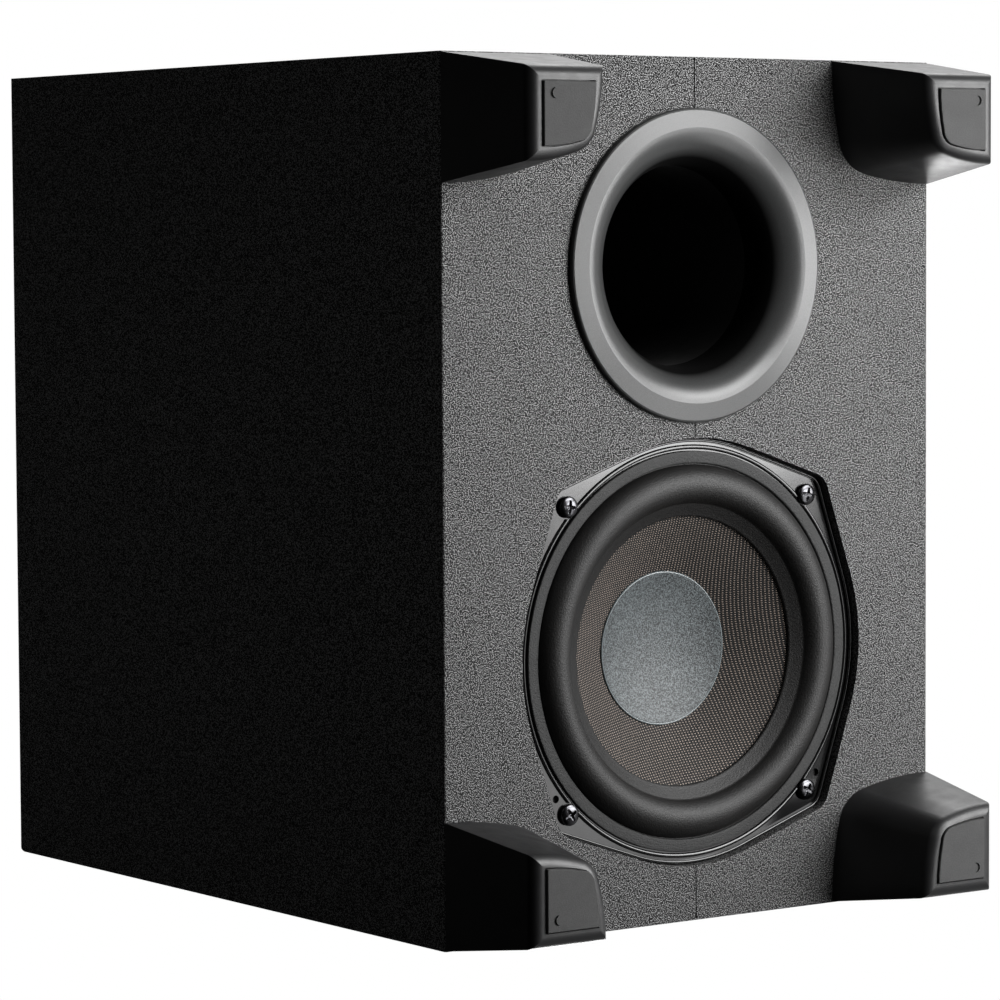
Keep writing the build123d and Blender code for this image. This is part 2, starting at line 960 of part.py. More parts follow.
# ---------------------------------------------------------------- rear amplifier
inlet_half_width = 12.5
inlet_half_height = 8.5
inlet_flange = 1.6

with BuildPart() as amp_plate:
    with BuildSketch(rear_plane(plate_inner_y)):
        with Locations((0, plate_z)):
            RectangleRounded(plate_width, plate_height, plate_corner)
        with Locations(*[(-x, z) for x, z in plate_screw_points]):
            Circle(plate_shank_radius + 0.25, mode=Mode.SUBTRACT)
        with Locations((-inlet_x, inlet_z)):
            RectangleRounded(
                2 * inlet_half_width + 0.4,
                2 * inlet_half_height + 0.4,
                3.0,
                mode=Mode.SUBTRACT,
            )
        with Locations((-button_x, button_z)):
            Circle(button_radius + 0.35, mode=Mode.SUBTRACT)
        with Locations((-led_x, led_z)):
            Circle(led_radius + glue_gap, mode=Mode.SUBTRACT)
    extrude(amount=plate_thickness)
    fillet(
        amp_plate.faces()
        .filter_by(Axis.Y)
        .sort_by(Axis.Y)[-1]
        .outer_wire()
        .edges(),
        radius=0.6,
    )
save(amp_plate.part, "amp_plate")

with BuildPart() as amp_seal:
    with BuildSketch(rear_plane(plate_inner_y - seal_thickness)):
        with Locations((0, plate_z)):
            RectangleRounded(plate_width - 1.0, plate_height - 1.0, plate_corner - 0.5)
            RectangleRounded(
                cutout_width + 3.0, cutout_height + 3.0, 4.0, mode=Mode.SUBTRACT
            )
        with Locations(*[(-x, z) for x, z in plate_screw_points]):
            Circle(plate_shank_radius + 0.4, mode=Mode.SUBTRACT)
    extrude(amount=seal_thickness)
save(amp_seal.part, "amp_seal")

plate_screw = pan_screw(2.9, 1.7, plate_shank_radius, plate_screw_reach)
with BuildPart() as amp_plate_screws:
    with Locations(
        *[
            Location((x, plate_outer_y, z), (90, 0, 0))
            for x, z in plate_screw_points
        ]
    ):
        add(plate_screw)
save(amp_plate_screws.part, "amp_plate_screws")

# Figure-eight appliance inlet: a moulded socket through the plate, standing on the circuit board.
socket_depth = 15.0
socket_lobe = 4.3
pin_length = 10.0
with BuildPart() as mains_inlet:
    with BuildSketch(rear_plane(pcb_outer_y)):
        with Locations((-inlet_x, inlet_z)):
            RectangleRounded(2 * inlet_half_width, 2 * inlet_half_height, 2.8)
    extrude(amount=plate_outer_y + 0.6 - pcb_outer_y)
    with BuildSketch(rear_plane(plate_outer_y + 0.6)):
        with Locations(
            (-inlet_x - pin_spacing / 2, inlet_z), (-inlet_x + pin_spacing / 2, inlet_z)
        ):
            Circle(socket_lobe)
        with Locations((-inlet_x, inlet_z)):
            Rectangle(pin_spacing, 2 * socket_lobe - 1.2)
    extrude(amount=-socket_depth, mode=Mode.SUBTRACT)
    with BuildSketch(rear_plane(plate_outer_y + 0.6 - socket_depth)):
        with Locations(
            (-inlet_x - pin_spacing / 2, inlet_z), (-inlet_x + pin_spacing / 2, inlet_z)
        ):
            Circle(pin_radius + glue_gap)
    extrude(amount=-(socket_depth), mode=Mode.SUBTRACT)
save(mains_inlet.part, "mains_inlet")

pin_end_y = plate_outer_y + 0.6 - socket_depth + pin_length
with BuildPart() as mains_inlet_pins:
    with BuildSketch(rear_plane(pcb_inner_y - 1.5)):
        with Locations(
            (-inlet_x - pin_spacing / 2, inlet_z), (-inlet_x + pin_spacing / 2, inlet_z)
        ):
            Circle(pin_radius)
    extrude(amount=pin_end_y - pcb_inner_y + 1.5)
    chamfer(mains_inlet_pins.faces().group_by(Axis.Y)[-1].edges(), length=0.4)
save(mains_inlet_pins.part, "mains_inlet_pins")

# Pairing button: a cap behind the plate, a stem, and the tact switch it presses.
switch_body_height = 4.0
plunger_height = 1.2
button_proud = 0.9
button_flange = 1.4
stem_radius = 1.6
switch_face_y = pcb_outer_y + switch_body_height
plunger_end_y = switch_face_y + plunger_height
button_back_y = plate_inner_y - 0.4
with BuildPart() as pairing_button:
    with BuildSketch(rear_plane(plunger_end_y)):
        with Locations((-button_x, button_z)):
            Circle(stem_radius)
    extrude(amount=button_back_y - plunger_end_y)
    with BuildSketch(rear_plane(button_back_y - button_flange)):
        with Locations((-button_x, button_z)):
            Circle(button_radius + 1.4)
    extrude(amount=button_flange)
    with BuildSketch(rear_plane(button_back_y)):
        with Locations((-button_x, button_z)):
            Circle(button_radius)
    extrude(amount=plate_outer_y + button_proud - button_back_y)
    fillet(
        pairing_button.faces().sort_by(Axis.Y)[-1].edges(),
        radius=0.5,
    )
save(pairing_button.part, "pairing_button")

plunger_radius = 1.5
with BuildPart() as pairing_switch:
    with BuildSketch(rear_plane(pcb_outer_y)):
        with Locations((-button_x, button_z)):
            Rectangle(6.0, 6.0)
    extrude(amount=switch_body_height)
    with BuildSketch(rear_plane(switch_face_y)):
        with Locations((-button_x, button_z)):
            Circle(plunger_radius + glue_gap)
    extrude(amount=-2.6, mode=Mode.SUBTRACT)
save(pairing_switch.part, "pairing_switch")

with BuildPart() as switch_plunger:
    with BuildSketch(rear_plane(switch_face_y - 1.6)):
        with Locations((-button_x, button_z)):
            Circle(plunger_radius)
    extrude(amount=plunger_height + 1.6)
save(switch_plunger.part, "switch_plunger")

led_package = 2.0
with BuildPart() as status_light_pipe:
    with BuildSketch(rear_plane(pcb_outer_y + led_package)):
        with Locations((-led_x, led_z)):
            Circle(led_radius)
    extrude(amount=plate_outer_y + 0.4 - pcb_outer_y - led_package)
    with BuildSketch(rear_plane(plate_inner_y - 1.2)):
        with Locations((-led_x, led_z)):
            Circle(led_radius + 0.9)
    extrude(amount=1.2)
    fillet(status_light_pipe.faces().sort_by(Axis.Y)[-1].edges(), radius=0.4)
save(status_light_pipe.part, "status_light_pipe")

with BuildPart() as status_led:
    with BuildSketch(rear_plane(pcb_outer_y)):
        with Locations((-led_x, led_z)):
            Rectangle(3.0, 2.6)
    extrude(amount=led_package)
save(status_led.part, "status_led")

standoff_x = pcb_width / 2 - 5.0
standoff_z = pcb_height / 2 - 5.0
standoff_points = [
    (sx * standoff_x, plate_z + sz * standoff_z) for sx in (-1, 1) for sz in (-1, 1)
]
with BuildPart() as board_standoffs:
    with BuildSketch(rear_plane(pcb_outer_y)):
        with Locations(*standoff_points):
            RegularPolygon(3.2, 6)
        with Locations(*standoff_points):
            Circle(1.3, mode=Mode.SUBTRACT)
    extrude(amount=standoff_height)
save(board_standoffs.part, "board_standoffs")

board_screw = pan_screw(2.6, 1.5, 1.25, 7.0)
with BuildPart() as board_screws:
    with Locations(
        *[Location((x, pcb_inner_y, z), (-90, 0, 0)) for x, z in standoff_points]
    ):
        add(board_screw)
save(board_screws.part, "board_screws")

with BuildPart() as amp_board:
    with BuildSketch(rear_plane(pcb_inner_y)):
        with Locations((0, plate_z)):
            Rectangle(pcb_width, pcb_height)
        with Locations(*standoff_points):
            Circle(1.35, mode=Mode.SUBTRACT)
        with Locations(
            (-inlet_x - pin_spacing / 2, inlet_z), (-inlet_x + pin_spacing / 2, inlet_z)
        ):
            Circle(pin_radius + glue_gap, mode=Mode.SUBTRACT)
    extrude(amount=pcb_thickness)
save(amp_board.part, "amp_board")


def on_board(x, z, across, height, depth):
    """Rectangular part standing on the board's inner face, centred at x and z above the plate's middle."""
    with BuildPart() as piece:
        with BuildSketch(rear_plane(pcb_inner_y)):
            with Locations((-x, plate_z + z)):
                Rectangle(across, height)
        extrude(amount=-depth)
    return piece.part


transformer_x = 20.0
transformer_z = 8.0
with BuildPart() as power_transformer:
    add(on_board(transformer_x, transformer_z, 22.0, 26.0, 20.0))
    with BuildSketch(rear_plane(pcb_inner_y)):
        with Locations((-transformer_x, plate_z + transformer_z)):
            Rectangle(28.0, 16.0)
    extrude(amount=-22.0)
save(power_transformer.part, "power_transformer")

with BuildPart() as mains_capacitors:
    with BuildSketch(rear_plane(pcb_inner_y)):
        with Locations((-46.0, plate_z + 12.0)):
            Circle(8.0)
        with Locations((-2.0 + 6.0, plate_z + 16.0), (-2.0 + 6.0, plate_z - 2.0)):
            Circle(6.2)
    extrude(amount=-24.0)
    fillet(mains_capacitors.faces().group_by(Axis.Y)[0].edges(), radius=1.0)
save(mains_capacitors.part, "mains_capacitors")

fin_count = 7
fin_pitch = 5.0
with BuildPart() as heat_sink:
    add(on_board(-30.0, 12.0, 34.0, 3.0, 22.0))
    with BuildSketch(rear_plane(pcb_inner_y)):
        with Locations((30.0, plate_z + 17.0)):
            with GridLocations(fin_pitch, 1.0, fin_count, 1):
                Rectangle(1.6, 9.0)
    extrude(amount=-22.0)
save(heat_sink.part, "heat_sink")

with BuildPart() as output_chokes:
    with BuildSketch(rear_plane(pcb_inner_y)):
        with Locations((20.0, plate_z - 6.0), (38.0, plate_z - 6.0)):
            Circle(7.0)
    extrude(amount=-11.0)
    chamfer(output_chokes.faces().group_by(Axis.Y)[0].edges(), length=0.8)
save(output_chokes.part, "output_chokes")

save(on_board(-57.0, 4.0, 14.0, 20.0, 3.0), "wireless_module")

lead_radius = 2.1
plug_x = -52.0
plug_z = plate_z - 18.0
save(on_board(plug_x, -18.0, 11.0, 7.0, 9.0), "speaker_header")

plug_depth = 9.0
header_end_y = pcb_inner_y - 9.0
with BuildPart() as speaker_plug:
    with BuildSketch(rear_plane(header_end_y)):
        with Locations((-plug_x, plug_z)):
            Rectangle(10.0, 6.0)
    extrude(amount=-plug_depth)
save(speaker_plug.part, "speaker_plug")

tab_end_x = terminal_x - 0.8 - 8.0
coupler_length = 12.0
with BuildPart() as driver_plug:
    with Locations((tab_end_x - coupler_length / 2 + 5.0, driver_y, base_z + 39.0)):
        Box(coupler_length, 22.0, 7.0)
    with Locations(
        (tab_end_x + 2.5, driver_y - 6.5, base_z + 39.0),
        (tab_end_x + 2.5, driver_y + 6.5, base_z + 39.0),
    ):
        Box(5.2, 5.0, 1.0, mode=Mode.SUBTRACT)
save(driver_plug.part, "driver_plug")


def rounded_run(points, radius):
    """Straight runs joined by arcs tangent to both, through the corner points given."""
    corners = [Vector(*point) for point in points]
    start = corners[0]
    for before, here, after in zip(corners, corners[1:], corners[2:]):
        back = (before - here).normalized()
        ahead = (after - here).normalized()
        half_angle = math.acos(max(-1.0, min(1.0, back.dot(ahead)))) / 2
        reach = radius / math.tan(half_angle)
        middle_distance = radius / math.sin(half_angle) - radius
        arc_start = here + back * reach
        arc_end = here + ahead * reach
        arc_middle = here + (back + ahead).normalized() * middle_distance
        Line(start, arc_start)
        ThreePointArc(arc_start, arc_middle, arc_end)
        start = arc_end
    Line(start, corners[-1])


wall_run_x = -inner_x + lead_radius + 1.2
lead_points = [
    (plug_x, header_end_y - plug_depth, plug_z),
    (plug_x, 92.0, plug_z),
    (wall_run_x, 74.0, plug_z - 10.0),
    (wall_run_x, 62.0, base_z + 60.0),
    (wall_run_x, -30.0, base_z + 39.0),
    (wall_run_x, driver_y, base_z + 39.0),
    (tab_end_x - coupler_length + 5.0, driver_y, base_z + 39.0),
]
lead_bend = 12.0
with BuildPart() as speaker_lead:
    with BuildLine() as lead_run:
        rounded_run(lead_points, lead_bend)
    with BuildSketch(Plane(lead_run.wire() @ 0, z_dir=lead_run.wire() % 0)):
        Circle(lead_radius)
    sweep(path=lead_run.wire())
save(speaker_lead.part, "speaker_lead")

wadding_thickness = 14.0
wadding_width = 2 * inner_x - 24.0
wadding_drop = 170.0
wadding_back_y = 60.0
with BuildPart() as damping_wadding:
    with BuildSketch(Plane.YZ):
        with BuildLine():
            Polyline(
                (-inner_y + 0.5, ceiling_z - 0.5),
                (wadding_back_y, ceiling_z - 0.5),
                (wadding_back_y, ceiling_z - wadding_thickness),
                (-inner_y + wadding_thickness + 6.0, ceiling_z - wadding_thickness),
                (-inner_y + wadding_thickness, ceiling_z - wadding_thickness - 6.0),
                (-inner_y + wadding_thickness, ceiling_z - wadding_drop),
                (-inner_y + 0.5, ceiling_z - wadding_drop),
                close=True,
            )
        make_face()
    extrude(amount=wadding_width / 2, both=True)
save(damping_wadding.part, "damping_wadding")
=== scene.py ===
import json
import math
import random

import bmesh
import bpy
import numpy as np
from mathutils import Matrix, Vector, noise


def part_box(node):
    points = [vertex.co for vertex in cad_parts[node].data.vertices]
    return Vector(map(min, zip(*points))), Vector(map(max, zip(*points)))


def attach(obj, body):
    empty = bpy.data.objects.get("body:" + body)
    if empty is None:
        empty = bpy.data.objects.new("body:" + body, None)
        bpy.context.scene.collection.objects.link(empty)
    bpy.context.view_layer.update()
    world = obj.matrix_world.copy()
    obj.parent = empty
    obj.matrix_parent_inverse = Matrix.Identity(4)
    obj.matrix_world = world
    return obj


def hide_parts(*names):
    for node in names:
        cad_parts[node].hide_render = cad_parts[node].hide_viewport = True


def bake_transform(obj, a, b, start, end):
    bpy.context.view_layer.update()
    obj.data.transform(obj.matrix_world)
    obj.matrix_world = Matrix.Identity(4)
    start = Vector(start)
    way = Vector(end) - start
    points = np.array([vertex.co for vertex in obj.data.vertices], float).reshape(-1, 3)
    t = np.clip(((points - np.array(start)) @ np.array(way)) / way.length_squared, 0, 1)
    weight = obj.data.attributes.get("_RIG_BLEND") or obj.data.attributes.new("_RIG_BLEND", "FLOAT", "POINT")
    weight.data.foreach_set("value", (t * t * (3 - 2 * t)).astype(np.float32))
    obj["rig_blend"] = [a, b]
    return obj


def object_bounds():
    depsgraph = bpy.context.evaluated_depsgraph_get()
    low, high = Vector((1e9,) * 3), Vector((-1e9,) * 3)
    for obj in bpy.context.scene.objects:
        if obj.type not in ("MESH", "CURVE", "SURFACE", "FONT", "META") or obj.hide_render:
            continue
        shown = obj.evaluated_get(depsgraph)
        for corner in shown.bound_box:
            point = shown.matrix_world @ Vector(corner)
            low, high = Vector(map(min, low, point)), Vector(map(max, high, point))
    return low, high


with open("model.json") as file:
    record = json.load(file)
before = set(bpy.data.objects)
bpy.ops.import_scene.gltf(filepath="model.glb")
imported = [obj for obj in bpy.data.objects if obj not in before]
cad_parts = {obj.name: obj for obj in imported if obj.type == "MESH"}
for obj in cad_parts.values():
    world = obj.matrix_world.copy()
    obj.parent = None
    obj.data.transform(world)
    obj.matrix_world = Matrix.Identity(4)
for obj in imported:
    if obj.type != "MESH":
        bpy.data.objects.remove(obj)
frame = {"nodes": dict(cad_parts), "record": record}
cad_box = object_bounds()
nodes = frame["nodes"]
random.seed(7)

# ------------------------------------------------------------------ where things are, from the frame
frame_low, frame_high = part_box("driver_basket")
cap_low, cap_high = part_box("dust_cap")
cone_low, cone_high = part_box("cone")
ring_low, ring_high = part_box("gasket_ring")
roll_low, roll_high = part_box("surround")
base_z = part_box("bottom_baffle")[0].z
driver_centre = (cone_low + cone_high) / 2
driver_centre.z = 0
MM = 0.001


# ------------------------------------------------------------------ camera
# The photograph looks up at the underside from beyond the right-hand panel, with the rear edge at the top.
camera_data = bpy.data.cameras.new("camera")
camera = bpy.data.objects.new("camera", camera_data)
bpy.context.scene.collection.objects.link(camera)
bpy.context.scene.camera = camera
camera_data.sensor_width = 36.0
camera_data.lens = 149.47
camera_data.clip_start = 0.05
camera_data.clip_end = 30.0
camera_place = Vector((0.92729, 0.09441, base_z - 1.16282))
look = Vector((-0.584726, -0.065263, 0.808601)).normalized()
up = Vector((-0.042563, 0.997854, 0.049758))
right = look.cross(up).normalized()
up = right.cross(look)
camera.matrix_world = Matrix(
    (
        (right.x, up.x, -look.x, camera_place.x),
        (right.y, up.y, -look.y, camera_place.y),
        (right.z, up.z, -look.z, camera_place.z),
        (0, 0, 0, 1),
    )
)


# ------------------------------------------------------------------ material helpers
class Shader:
    """A Principled material with short calls for adding and joining its nodes."""

    def __init__(self, name, color, roughness, metallic=0.0):
        self.material = bpy.data.materials.new(name)
        self.material.use_nodes = True
        self.tree = self.material.node_tree
        self.tree.nodes.clear()
        self.output = self.tree.nodes.new("ShaderNodeOutputMaterial")
        self.surface = self.tree.nodes.new("ShaderNodeBsdfPrincipled")
        self.tree.links.new(self.surface.outputs[0], self.output.inputs[0])
        self.set("Base Color", (*color, 1.0))
        self.set("Roughness", roughness)
        self.set("Metallic", metallic)
        self.coords = self.tree.nodes.new("ShaderNodeTexCoord").outputs["Object"]

    def set(self, socket, value):
        self.surface.inputs[socket].default_value = value

    def join(self, source, socket):
        self.tree.links.new(source, self.surface.inputs[socket])

    def add(self, kind, inputs, **properties):
        node = self.tree.nodes.new(kind)
        for key, value in properties.items():
            setattr(node, key, value)
        for key, value in inputs.items():
            if isinstance(value, bpy.types.NodeSocket):
                self.tree.links.new(value, node.inputs[key])
            else:
                node.inputs[key].default_value = value
        return node

    def noise(self, scale, detail=3.0, rough=0.55, vector=None, distortion=0.0):
        return self.add(
            "ShaderNodeTexNoise",
            {
                "Vector": vector or self.coords,
                "Scale": scale,
                "Detail": detail,
                "Roughness": rough,
                "Distortion": distortion,
            },
        ).outputs["Fac"]

    def math(self, operation, a, b=0.0):
        return self.add("ShaderNodeMath", {0: a, 1: b}, operation=operation).outputs[0]

    def span(self, value, low, high, to_low, to_high):
        node = self.add(
            "ShaderNodeMapRange",
            {
                "Value": value,
                "From Min": low,
                "From Max": high,
                "To Min": to_low,
                "To Max": to_high,
            },
        )
        node.clamp = True
        return node.outputs[0]

    def mix(self, factor, a, b):
        """Colour between a and b; each is a colour or a socket, and factor is a socket."""
        node = self.add("ShaderNodeMix", {0: factor}, data_type="RGBA")
        for index, value in ((6, a), (7, b)):
            if isinstance(value, bpy.types.NodeSocket):
                self.tree.links.new(value, node.inputs[index])
            else:
                node.inputs[index].default_value = (*value, 1.0)
        return node.outputs[2]

    def bump(self, height, distance):
        inputs = {"Height": height, "Distance": distance, "Strength": 1.0}
        return self.add("ShaderNodeBump", inputs).outputs["Normal"]


def pebble_vinyl():
    """Black vinyl film embossed with a fine pebble grain; its tops are coloured grey as painted glints and
    its valleys near black as painted shade.
    """
    s = Shader("pebble_vinyl", (0.012, 0.012, 0.012), 0.3)
    relief = s.math("ADD", s.noise(2450.0, 0.0), s.math("MULTIPLY", s.noise(4100.0, 0.0), 0.3))
    broad = s.noise(26.0, 3.0)
    # painted glints: grain tops coloured grey; the valleys are coloured near black as painted shade
    tops_painted_glint = s.span(relief, 0.68, 0.76, 0.0, 1.0)
    s.join(s.mix(tops_painted_glint, (0.0003, 0.0003, 0.0003), (0.185, 0.185, 0.186)), "Base Color")
    rough = s.math("ADD", s.span(tops_painted_glint, 0.0, 1.0, 0.95, 0.31), s.span(broad, 0.3, 0.7, -0.02, 0.02))
    s.join(rough, "Roughness")
    s.join(s.bump(relief, 0.00013), "Normal")
    s.set("Specular IOR Level", 0.42)
    return s.material


def flared_port(name, color, roughness, mouth_z):
    """Satin moulded plastic, polished at the mouth; where the bore turns inward it carries painted shade:
    near-black colour, more roughness and metallic that take away its reflection.
    """
    s = Shader(name, color, roughness)
    speck = s.noise(3000.0, 2.0, 0.6)
    # painted shade: deeper than the mouth the bore's colour goes near black, rougher and metallic so it
    # barely reflects
    depth_in = s.add("ShaderNodeSeparateXYZ", {0: s.coords}).outputs[2]
    bore_painted_shade = s.span(depth_in, mouth_z + 0.2 * MM, mouth_z + 3.6 * MM, 0.0, 1.0)
    dark = tuple(c * 0.8 for c in color)
    light = tuple(c * 1.2 for c in color)
    face = s.mix(s.span(speck, 0.35, 0.65, 0.0, 1.0), dark, light)
    s.join(s.mix(bore_painted_shade, face, tuple(c * 0.02 for c in color)), "Base Color")
    polish = s.span(speck, 0.3, 0.7, roughness * 0.95, roughness * 1.06)
    s.join(s.math("ADD", polish, s.math("MULTIPLY", bore_painted_shade, 0.68)), "Roughness")
    s.join(s.math("MULTIPLY", bore_painted_shade, 0.85), "Metallic")
    s.join(s.bump(speck, 0.000006), "Normal")
    return s.material


def speckled(name, low, high, roughness, grain, depth, rim_radius, centre_y):
    """Doped fibre: close dark and light specks over an even satin coat, with a glossy rolled rim coloured in
    the light tone as a painted highlight.
    """
    s = Shader(name, high, roughness)
    specks = s.noise(grain, 2.0, 0.7)
    haze = s.noise(60.0, 3.0)
    tone = s.math("ADD", s.span(specks, 0.42, 0.62, 0.0, 0.88), s.span(haze, 0.3, 0.7, 0.0, 0.12))
    apart = s.add("ShaderNodeSeparateXYZ", {0: s.coords}).outputs
    from_middle = s.math("SUBTRACT", apart[1], centre_y)
    x_squared = s.math("MULTIPLY", apart[0], apart[0])
    y_squared = s.math("MULTIPLY", from_middle, from_middle)
    radius = s.math("SQRT", s.math("ADD", x_squared, y_squared))
    # glossy rolled rim; its colour is set to the light tone as a painted highlight
    rim_gloss_and_highlight = s.span(radius, rim_radius - 0.95 * MM, rim_radius - 0.75 * MM, 0.0, 1.0)
    s.join(s.mix(rim_gloss_and_highlight, s.mix(tone, low, high), high), "Base Color")
    satin = s.span(specks, 0.35, 0.65, roughness * 1.15, roughness * 0.9)
    glossy = s.math("MULTIPLY", rim_gloss_and_highlight, s.math("SUBTRACT", 0.13, satin))
    s.join(s.math("ADD", satin, glossy), "Roughness")
    s.join(s.bump(s.math("MULTIPLY", specks, s.math("SUBTRACT", 1.0, rim_gloss_and_highlight)), depth), "Normal")
    return s.material


def moulded(name, color, roughness, grain=2600.0, depth=0.00003, vary=0.12):
    """Moulded plastic or paint: a fine eroded texture, slow colour drift and rubbed patches."""
    s = Shader(name, color, roughness)
    drift = s.noise(45.0, 4.0)
    dark = tuple(c * (1 - vary) for c in color)
    light = tuple(min(1.0, c * (1 + vary)) for c in color)
    speck = s.noise(grain, 2.0, 0.6)
    tone = s.math("ADD", s.math("MULTIPLY", drift, 0.6), s.math("MULTIPLY", speck, 0.4))
    s.join(s.mix(s.span(tone, 0.35, 0.65, 0.0, 1.0), dark, light), "Base Color")
    s.join(s.span(s.noise(140.0, 5.0), 0.3, 0.7, roughness * 0.88, roughness * 1.14), "Roughness")
    s.join(s.bump(speck, depth), "Normal")
    return s.material


def metal(name, color, roughness, brushed=False, depth=0.00001):
    """Metal or plating with faint drawing marks and uneven polish."""
    s = Shader(name, color, roughness, 1.0)
    streak = s.add(
        "ShaderNodeMapping", {"Vector": s.coords, "Scale": (1.0, 1.0, 18.0 if brushed else 1.0)}
    ).outputs[0]
    lines = s.noise(900.0, 4.0, 0.6, streak)
    cloud = s.noise(90.0, 4.0)
    dark = tuple(c * 0.82 for c in color)
    s.join(s.mix(s.span(cloud, 0.35, 0.7, 0.0, 1.0), dark, color), "Base Color")
    s.join(s.span(lines, 0.3, 0.7, roughness * 0.8, roughness * 1.25), "Roughness")
    s.join(s.bump(lines, depth), "Normal")
    return s.material


def rubber(name, color, roughness, grain=1500.0, depth=0.00004, vary=0.3, spec=0.4):
    """Matte rubber with a fine tooth and a dusty bloom."""
    s = Shader(name, color, roughness)
    s.set("Specular IOR Level", spec)
    bloom = s.noise(120.0, 5.0, 0.65)
    tooth = s.noise(grain, 2.0, 0.6)
    dark = tuple(c * (1 - vary) for c in color)
    light = tuple(c * (1 + vary) for c in color)
    tone = s.math("ADD", s.span(bloom, 0.3, 0.7, 0.0, 0.4), s.span(tooth, 0.4, 0.6, 0.0, 0.6))
    s.join(s.mix(tone, dark, light), "Base Color")
    s.join(s.span(tooth, 0.3, 0.7, roughness * 0.92, min(1.0, roughness * 1.1)), "Roughness")
    s.join(s.bump(tooth, depth), "Normal")
    return s.material


def woven(name, yarn_color, gap_painted_shade, pitch, angle, roughness, depth):
    """Plain-woven cloth: rounded yarn floats that pass over and under each other, with painted shade
    darkening the gaps between them and the low weft floats.
    """
    s = Shader(name, yarn_color, roughness)
    grid = s.add(
        "ShaderNodeMapping",
        {
            "Vector": s.coords,
            "Rotation": (0.0, 0.0, -angle),
            "Scale": (0.78 / pitch, 1.15 / pitch, 0.0),
        },
        vector_type="POINT",
    ).outputs[0]
    wander = s.add("ShaderNodeTexNoise", {"Vector": s.coords, "Scale": 160.0}).outputs["Color"]
    sway = s.add("ShaderNodeVectorMath", {0: wander, "Scale": 0.5}, operation="SCALE").outputs[0]
    laid = s.add("ShaderNodeVectorMath", {0: grid, 1: sway}, operation="ADD").outputs[0]
    apart = s.add("ShaderNodeSeparateXYZ", {0: laid}).outputs
    across, along = apart[1], apart[0]
    turn = s.math("ADD", s.math("FLOOR", across), s.math("FLOOR", along))
    over = s.math("MODULO", s.math("ABSOLUTE", turn), 2.0)

    def float_profile(width_way, length_way):
        half = s.math("SUBTRACT", s.math("MULTIPLY", s.math("FRACT", width_way), 2.0), 1.0)
        rounded = s.math("SUBTRACT", 1.0, s.math("MULTIPLY", half, half))
        crown = s.math("SINE", s.math("MULTIPLY", s.math("FRACT", length_way), math.pi))
        return s.math("MULTIPLY", rounded, s.math("POWER", s.math("MAXIMUM", crown, 0.0), 0.6))

    warp_float = s.math("MULTIPLY", float_profile(across, along), s.math("SUBTRACT", 1.0, over))
    weft_float = s.math("MULTIPLY", float_profile(along, across), s.math("MULTIPLY", over, 0.4))
    height = s.math("ADD", warp_float, weft_float)
    fibres = s.noise(4200.0, 3.0, 0.65)
    patches = s.noise(70.0, 4.0)
    shade = s.math("ADD", s.span(fibres, 0.25, 0.75, 0.6, 1.3), s.span(patches, 0.3, 0.7, -0.1, 0.1))
    # painted shade: lower yarn height darkens toward the gap colour, in the gaps and on the weft
    base = s.mix(s.span(height, 0.4, 0.85, 0.0, 1.0), gap_painted_shade, yarn_color)
    toned = s.add("ShaderNodeVectorMath", {0: base, "Scale": shade}, operation="SCALE").outputs[0]
    s.join(toned, "Base Color")
    s.join(s.span(height, 0.2, 0.9, min(1.0, roughness * 1.7), roughness * 0.9), "Roughness")
    s.join(s.bump(height, depth), "Normal")
    return s.material


def felt(name, color):
    """Needled polyester: tangled fibres in soft clumps."""
    s = Shader(name, color, 0.95)
    s.set("Sheen Weight", 0.4)
    clumps = s.noise(160.0, 5.0, 0.7)
    strands = s.noise(2200.0, 6.0, 0.75, distortion=1.5)
    thin = tuple(c * 0.75 for c in color)
    s.join(s.mix(s.span(clumps, 0.3, 0.7, 0.0, 1.0), thin, color), "Base Color")
    s.join(s.bump(strands, 0.0004), "Normal")
    return s.material


def fibreboard(name):
    """Raw pressed board: brown with pale flecks of wood fibre."""
    s = Shader(name, (0.45, 0.33, 0.21), 0.85)
    flecks = s.noise(900.0, 5.0, 0.75, distortion=0.6)
    pale = s.span(flecks, 0.35, 0.65, 0.0, 1.0)
    s.join(s.mix(pale, (0.33, 0.23, 0.14), (0.56, 0.43, 0.29)), "Base Color")
    s.join(s.bump(flecks, 0.0001), "Normal")
    return s.material


def circuit(name):
    """Green solder mask over copper traces."""
    s = Shader(name, (0.02, 0.12, 0.05), 0.35)
    traces = s.add(
        "ShaderNodeTexBrick",
        {
            "Vector": s.add(
                "ShaderNodeMapping",
                {"Vector": s.coords, "Rotation": (math.pi / 2, 0.0, 0.0)},
            ).outputs[0],
            "Scale": 260.0,
            "Mortar Size": 0.03,
            "Color1": (0.0, 0.0, 0.0, 1.0),
            "Color2": (0.0, 0.0, 0.0, 1.0),
            "Mortar": (1.0, 1.0, 1.0, 1.0),
        },
    ).outputs["Color"]
    s.join(s.mix(traces, (0.015, 0.10, 0.045), (0.05, 0.22, 0.09)), "Base Color")
    s.join(s.span(s.noise(300.0), 0.3, 0.7, 0.3, 0.42), "Roughness")
    s.join(s.bump(traces, 0.00003), "Normal")
    return s.material


WEAVE_PITCH = 0.7 * MM
WEAVE_ANGLE = math.radians(38)

